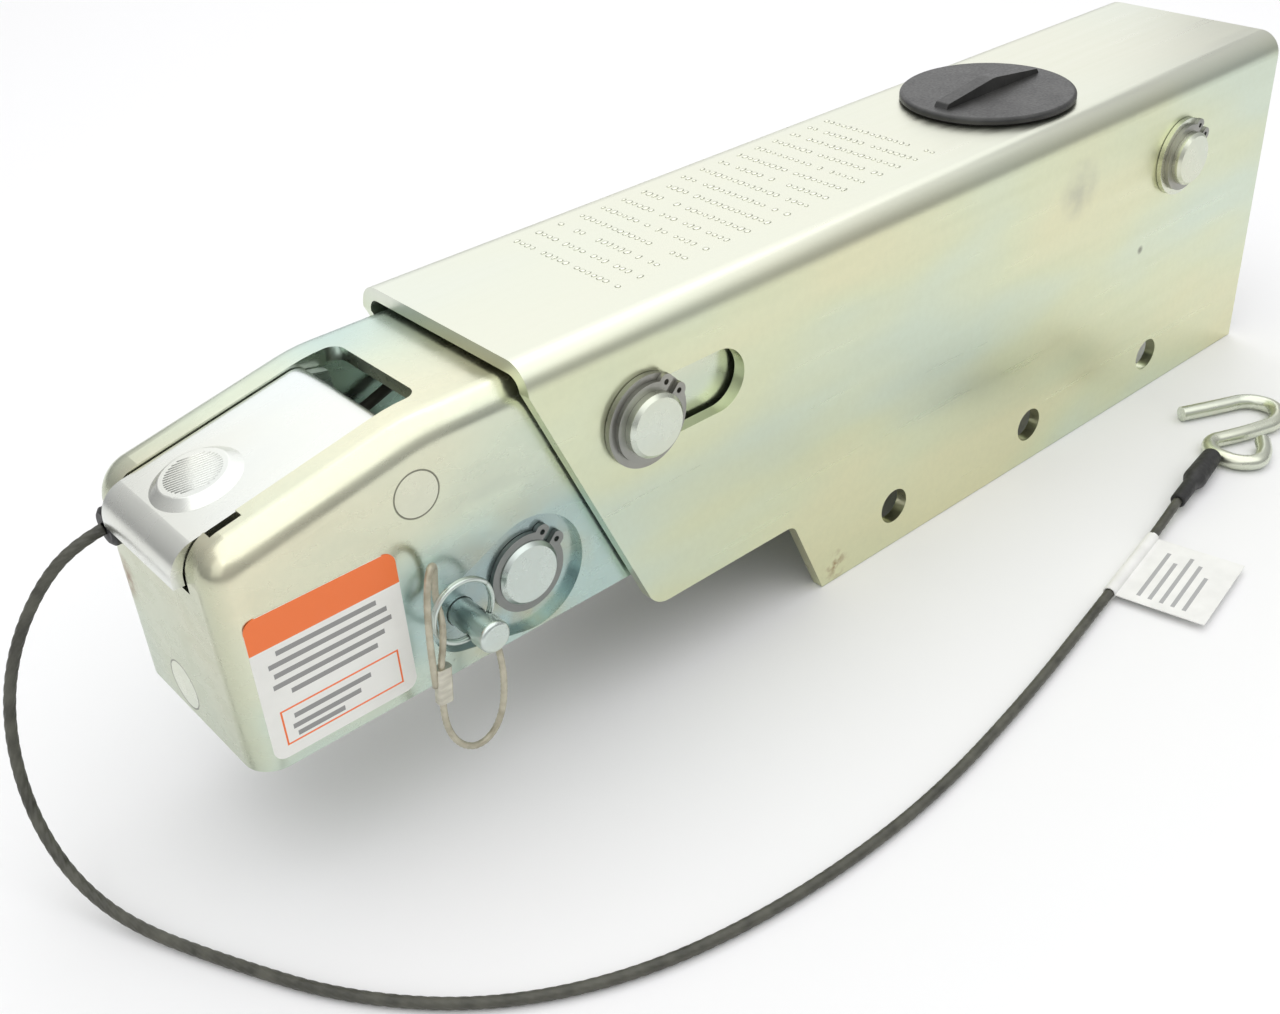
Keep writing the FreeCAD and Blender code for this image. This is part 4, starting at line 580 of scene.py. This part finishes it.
ridge_tree.links.new(ridge_scale.outputs["Vector"], ridge_place.inputs["Scale"])
ridge_turn = ridge_tree.nodes.new("GeometryNodeTransform")
ridge_turn.inputs["Rotation"].default_value = (0.0, 0.0, ridge_heading)
ridge_move = ridge_tree.nodes.new("GeometryNodeTransform")
ridge_move.inputs["Translation"].default_value = pad_centre
ridge_move.inputs["Rotation"].default_value = (0.0, -math.atan(handle_slope), 0.0)
ridge_tree.links.new(ridge_place.outputs["Instances"], ridge_turn.inputs["Geometry"])
ridge_tree.links.new(ridge_turn.outputs["Geometry"], ridge_move.inputs["Geometry"])
end_tree(ridge_tree, ridge_move.outputs["Geometry"], handle_material)
ridges = grown("thumb_ridges", ridge_tree, handle_material, Count=15, Radius=pad_radius)
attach(ridges, "handle")

# Oiled dark steel: snap rings, the front washers and the piston's retainer.
# They are brown-grey, in tints that change slowly.
dark_material = zinc(
    "oiled_steel", cool=(0.26, 0.27, 0.26), plain=(0.34, 0.34, 0.31), warm=(0.42, 0.40, 0.34),
    rough_low=0.28, rough_high=0.46, streak=(200.0, 200.0, 200.0))[0]
dress(dark_material, "slide_pin_washers", "slide_pin_snap_rings", "rear_pin_snap_rings",
      "jaw_pin_snap_rings", "piston_retainer")

# Split ring of the lock pin: two turns of spring wire lying side by side through the pin's cross hole.
# Its ends lie along the turns.
ring_low, ring_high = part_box("pin_ring")
ring_centre = (ring_low + ring_high) / 2
ring_radius = 0.0105
ring_wire = 0.00075
ring_steps = 160
ring_turns = 1.94
ring_start = 0.6
ring_spread = 1.05
ring_path = []
for step in range(ring_steps + 1):
    share = step / ring_steps
    angle = 2 * math.pi * ring_turns * share + ring_start
    aside = ring_wire * (2 * share - 1) * ring_spread
    offset = Vector((ring_radius * math.cos(angle), aside, ring_radius * math.sin(angle)))
    ring_path.append(ring_centre + offset)
split_ring = rope("split_ring", ring_path, ring_wire, strands=1, lay_length=1.0, groove=0.0, sides=14,
                  material=bright_material)
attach(split_ring, "lock")
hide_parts("pin_ring")

# Crimped ferrule: a soft aluminium sleeve squeezed over both legs of the lanyard's eye.
# The tool has left shallow marks across it.
ferrule_dark = (0.50, 0.48, 0.40)
ferrule_pale = (0.72, 0.70, 0.60)
ferrule_material, ferrule_tree, ferrule_shader = finish("crimped_aluminium")
ferrule_marks = grain(ferrule_tree, 1.0, (150.0, 150.0, 620.0))
ferrule_tree.links.new(tones(ferrule_tree, ferrule_marks, (0.3, ferrule_dark), (0.7, ferrule_pale)),
                       ferrule_shader.inputs["Base Color"])
ferrule_shader.inputs["Metallic"].default_value = 1.0
ferrule_tree.links.new(spread(ferrule_tree, ferrule_marks, 0.35, 0.5), ferrule_shader.inputs["Roughness"])
relief(ferrule_tree, ferrule_shader, ferrule_marks, 0.4, 0.0006)
dress(ferrule_material, "lanyard_ferrule")


# Filler cap: black moulded plastic with a fine grain and a sloping rib to turn it by.
# It closes the master cylinder's reservoir through the case's top.
def grained(name, dark, light, scale, rough_low, rough_high, strength, distance, metallic=0.0):
    """Moulded or cast surface with an even grain."""
    material, tree, shader = finish(name)
    surface = grain(tree, scale, (1.0, 1.0, 1.0), 4.0)
    colour = tones(tree, grain(tree, scale / 9), (0.3, dark), (0.7, light))
    tree.links.new(colour, shader.inputs["Base Color"])
    tree.links.new(spread(tree, surface, rough_low, rough_high), shader.inputs["Roughness"])
    relief(tree, shader, surface, strength, distance)
    shader.inputs["Metallic"].default_value = metallic
    return material


cap_material = grained("moulded_black", dark=(0.022, 0.022, 0.021), light=(0.050, 0.050, 0.047), scale=900.0,
                       rough_low=0.30, rough_high=0.48, strength=0.25, distance=0.0003)
dress(cap_material, "filler_cap")

# Black rubber: the cable's grommet and heat-shrunk sleeve, the cap's gasket and the piston's seals.
# It is duller than the cap, with a coarser grain.
rubber_material = grained("black_rubber", dark=(0.010, 0.010, 0.010), light=(0.026, 0.026, 0.025),
                          scale=380.0, rough_low=0.45, rough_high=0.65, strength=0.5, distance=0.0006)
dress(rubber_material, "cable_grommet", "cap_gasket", "piston_seals", "cable_sleeve")

# Castings and inner pieces, out of sight: cylinder and piston, the painted damper and the brass outlet.
# They are finished plainly.
cast_material = grained("cast_metal", dark=(0.42, 0.42, 0.40), light=(0.58, 0.58, 0.55), scale=500.0,
                        rough_low=0.45, rough_high=0.62, strength=0.5, distance=0.0006, metallic=0.9)
dress(cast_material, "master_cylinder", "piston")
damper_material = grained("black_paint", dark=(0.015, 0.015, 0.015), light=(0.028, 0.028, 0.028), scale=300.0,
                          rough_low=0.2, rough_high=0.3, strength=0.1, distance=0.0002)
dress(damper_material, "damper_body")
brass_material = grained("turned_brass", dark=(0.56, 0.41, 0.17), light=(0.72, 0.55, 0.25), scale=240.0,
                         rough_low=0.22, rough_high=0.36, strength=0.1, distance=0.0002, metallic=1.0)
dress(brass_material, "outlet_fitting")


# Label on the coupler's near side: a plastic film with an orange band over a white field.
# Plain grey bars and an empty frame stand where the real one is printed.
# Each bar has its indent, how much shorter it is at the other end, and its height on the coupler.
def inside(tree, across_value, up_value, low_across, high_across, low_up, high_up):
    """Mask of a rectangle."""
    tests = []
    for value, operation, limit in (
            (across_value, "GREATER_THAN", low_across), (across_value, "LESS_THAN", high_across),
            (up_value, "GREATER_THAN", low_up), (up_value, "LESS_THAN", high_up)):
        test = node_with(tree, "ShaderNodeMath", operation=operation)
        tree.links.new(value, test.inputs[0])
        test.inputs[1].default_value = limit
        tests.append(test.outputs[0])
    return multiplied(tree, *tests)


label_low, label_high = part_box("side_label")
label_material, label_tree, label_shader = finish("printed_film")
label_x = coordinate(label_tree, "X")
label_z = coordinate(label_tree, "Z")
film_dull = (0.83, 0.83, 0.78)
film_pale = (0.90, 0.90, 0.85)
orange = (0.93, 0.20, 0.045)
grey_ink = (0.30, 0.30, 0.29)
white_film = (0.87, 0.87, 0.82)
label_colour = tones(label_tree, grain(label_tree, 70.0), (0.3, film_dull), (0.7, film_pale))
band_height = 0.0112
band_low = label_high.z - band_height
label_margin = 0.0045
bars_from = label_low.x + label_margin
bars_to = label_high.x - label_margin
frame_low = 0.0555
frame_high = 0.0680
frame_line = 0.0006
orange_fields = [
    (label_low.x, label_high.x, band_low, label_high.z), (bars_from, bars_to, frame_low, frame_high)
]
white_fields = [
    (bars_from + frame_line, bars_to - frame_line, frame_low + frame_line, frame_high - frame_line)
]
bar_height = 0.0017
ink_fields = [
    (bars_from + indent, bars_to - shorten, row, row + bar_height)
    for indent, shorten, row in ((0.003, 0.004, 0.0866), (0.000, 0.001, 0.0830), (0.001, 0.000, 0.0794),
                                 (0.000, 0.003, 0.0758), (0.005, 0.006, 0.0722), (0.004, 0.010, 0.0635),
                                 (0.003, 0.014, 0.0600), (0.004, 0.020, 0.0570))
]
for colour, fields in ((orange, orange_fields), (white_film, white_fields), (grey_ink, ink_fields)):
    for field in fields:
        label_colour = blended(label_tree, inside(label_tree, label_x, label_z, *field), label_colour, colour)
label_tree.links.new(label_colour, label_shader.inputs["Base Color"])
label_gloss = spread(label_tree, grain(label_tree, 300.0), 0.32, 0.45)
label_tree.links.new(label_gloss, label_shader.inputs["Roughness"])
dress(label_material, "side_label")

# Flag on the cable: stiff white paper folded round the cable and stuck to itself.
# Faint grey bars run along it in place of print.
flag_from = Vector(CABLE[16])
flag_run = Vector(CABLE[17]) - flag_from
flag_share = 0.202
flag_bars_from = 0.004
flag_bars_to = 0.039
flag_bar_height = 0.0015
paper_dull = (0.82, 0.82, 0.79)
paper_pale = (0.90, 0.90, 0.87)
flag_ink = (0.42, 0.42, 0.42)
flag_material, flag_tree, flag_shader = finish("flag_paper")
flag_place = flag_tree.nodes.new("ShaderNodeTexCoord")
flag_turned = node_with(flag_tree, "ShaderNodeMapping", vector_type="TEXTURE")
flag_turned.inputs["Location"].default_value = flag_from + flag_run * flag_share
flag_turned.inputs["Rotation"].default_value = (0.0, 0.0, math.atan2(flag_run.y, flag_run.x))
flag_split = flag_tree.nodes.new("ShaderNodeSeparateXYZ")
flag_tree.links.new(flag_place.outputs["Object"], flag_turned.inputs["Vector"])
flag_tree.links.new(flag_turned.outputs["Vector"], flag_split.inputs[0])
flag_colour = tones(flag_tree, grain(flag_tree, 120.0), (0.3, paper_dull), (0.7, paper_pale))
flag_bars = ((0.004, -0.0100), (0.009, -0.0142), (0.003, -0.0184), (0.006, -0.0226), (0.012, -0.0268))
for shorten, row in flag_bars:
    bar = inside(flag_tree, flag_split.outputs["X"], flag_split.outputs["Y"], flag_bars_from,
                 flag_bars_to - shorten, row, row + flag_bar_height)
    flag_colour = blended(flag_tree, bar, flag_colour, flag_ink)
flag_tree.links.new(flag_colour, flag_shader.inputs["Base Color"])
flag_shader.inputs["Roughness"].default_value = 0.6
relief(flag_tree, flag_shader, grain(flag_tree, 90.0), 0.2, 0.001)
dress(flag_material, "cable_flag")
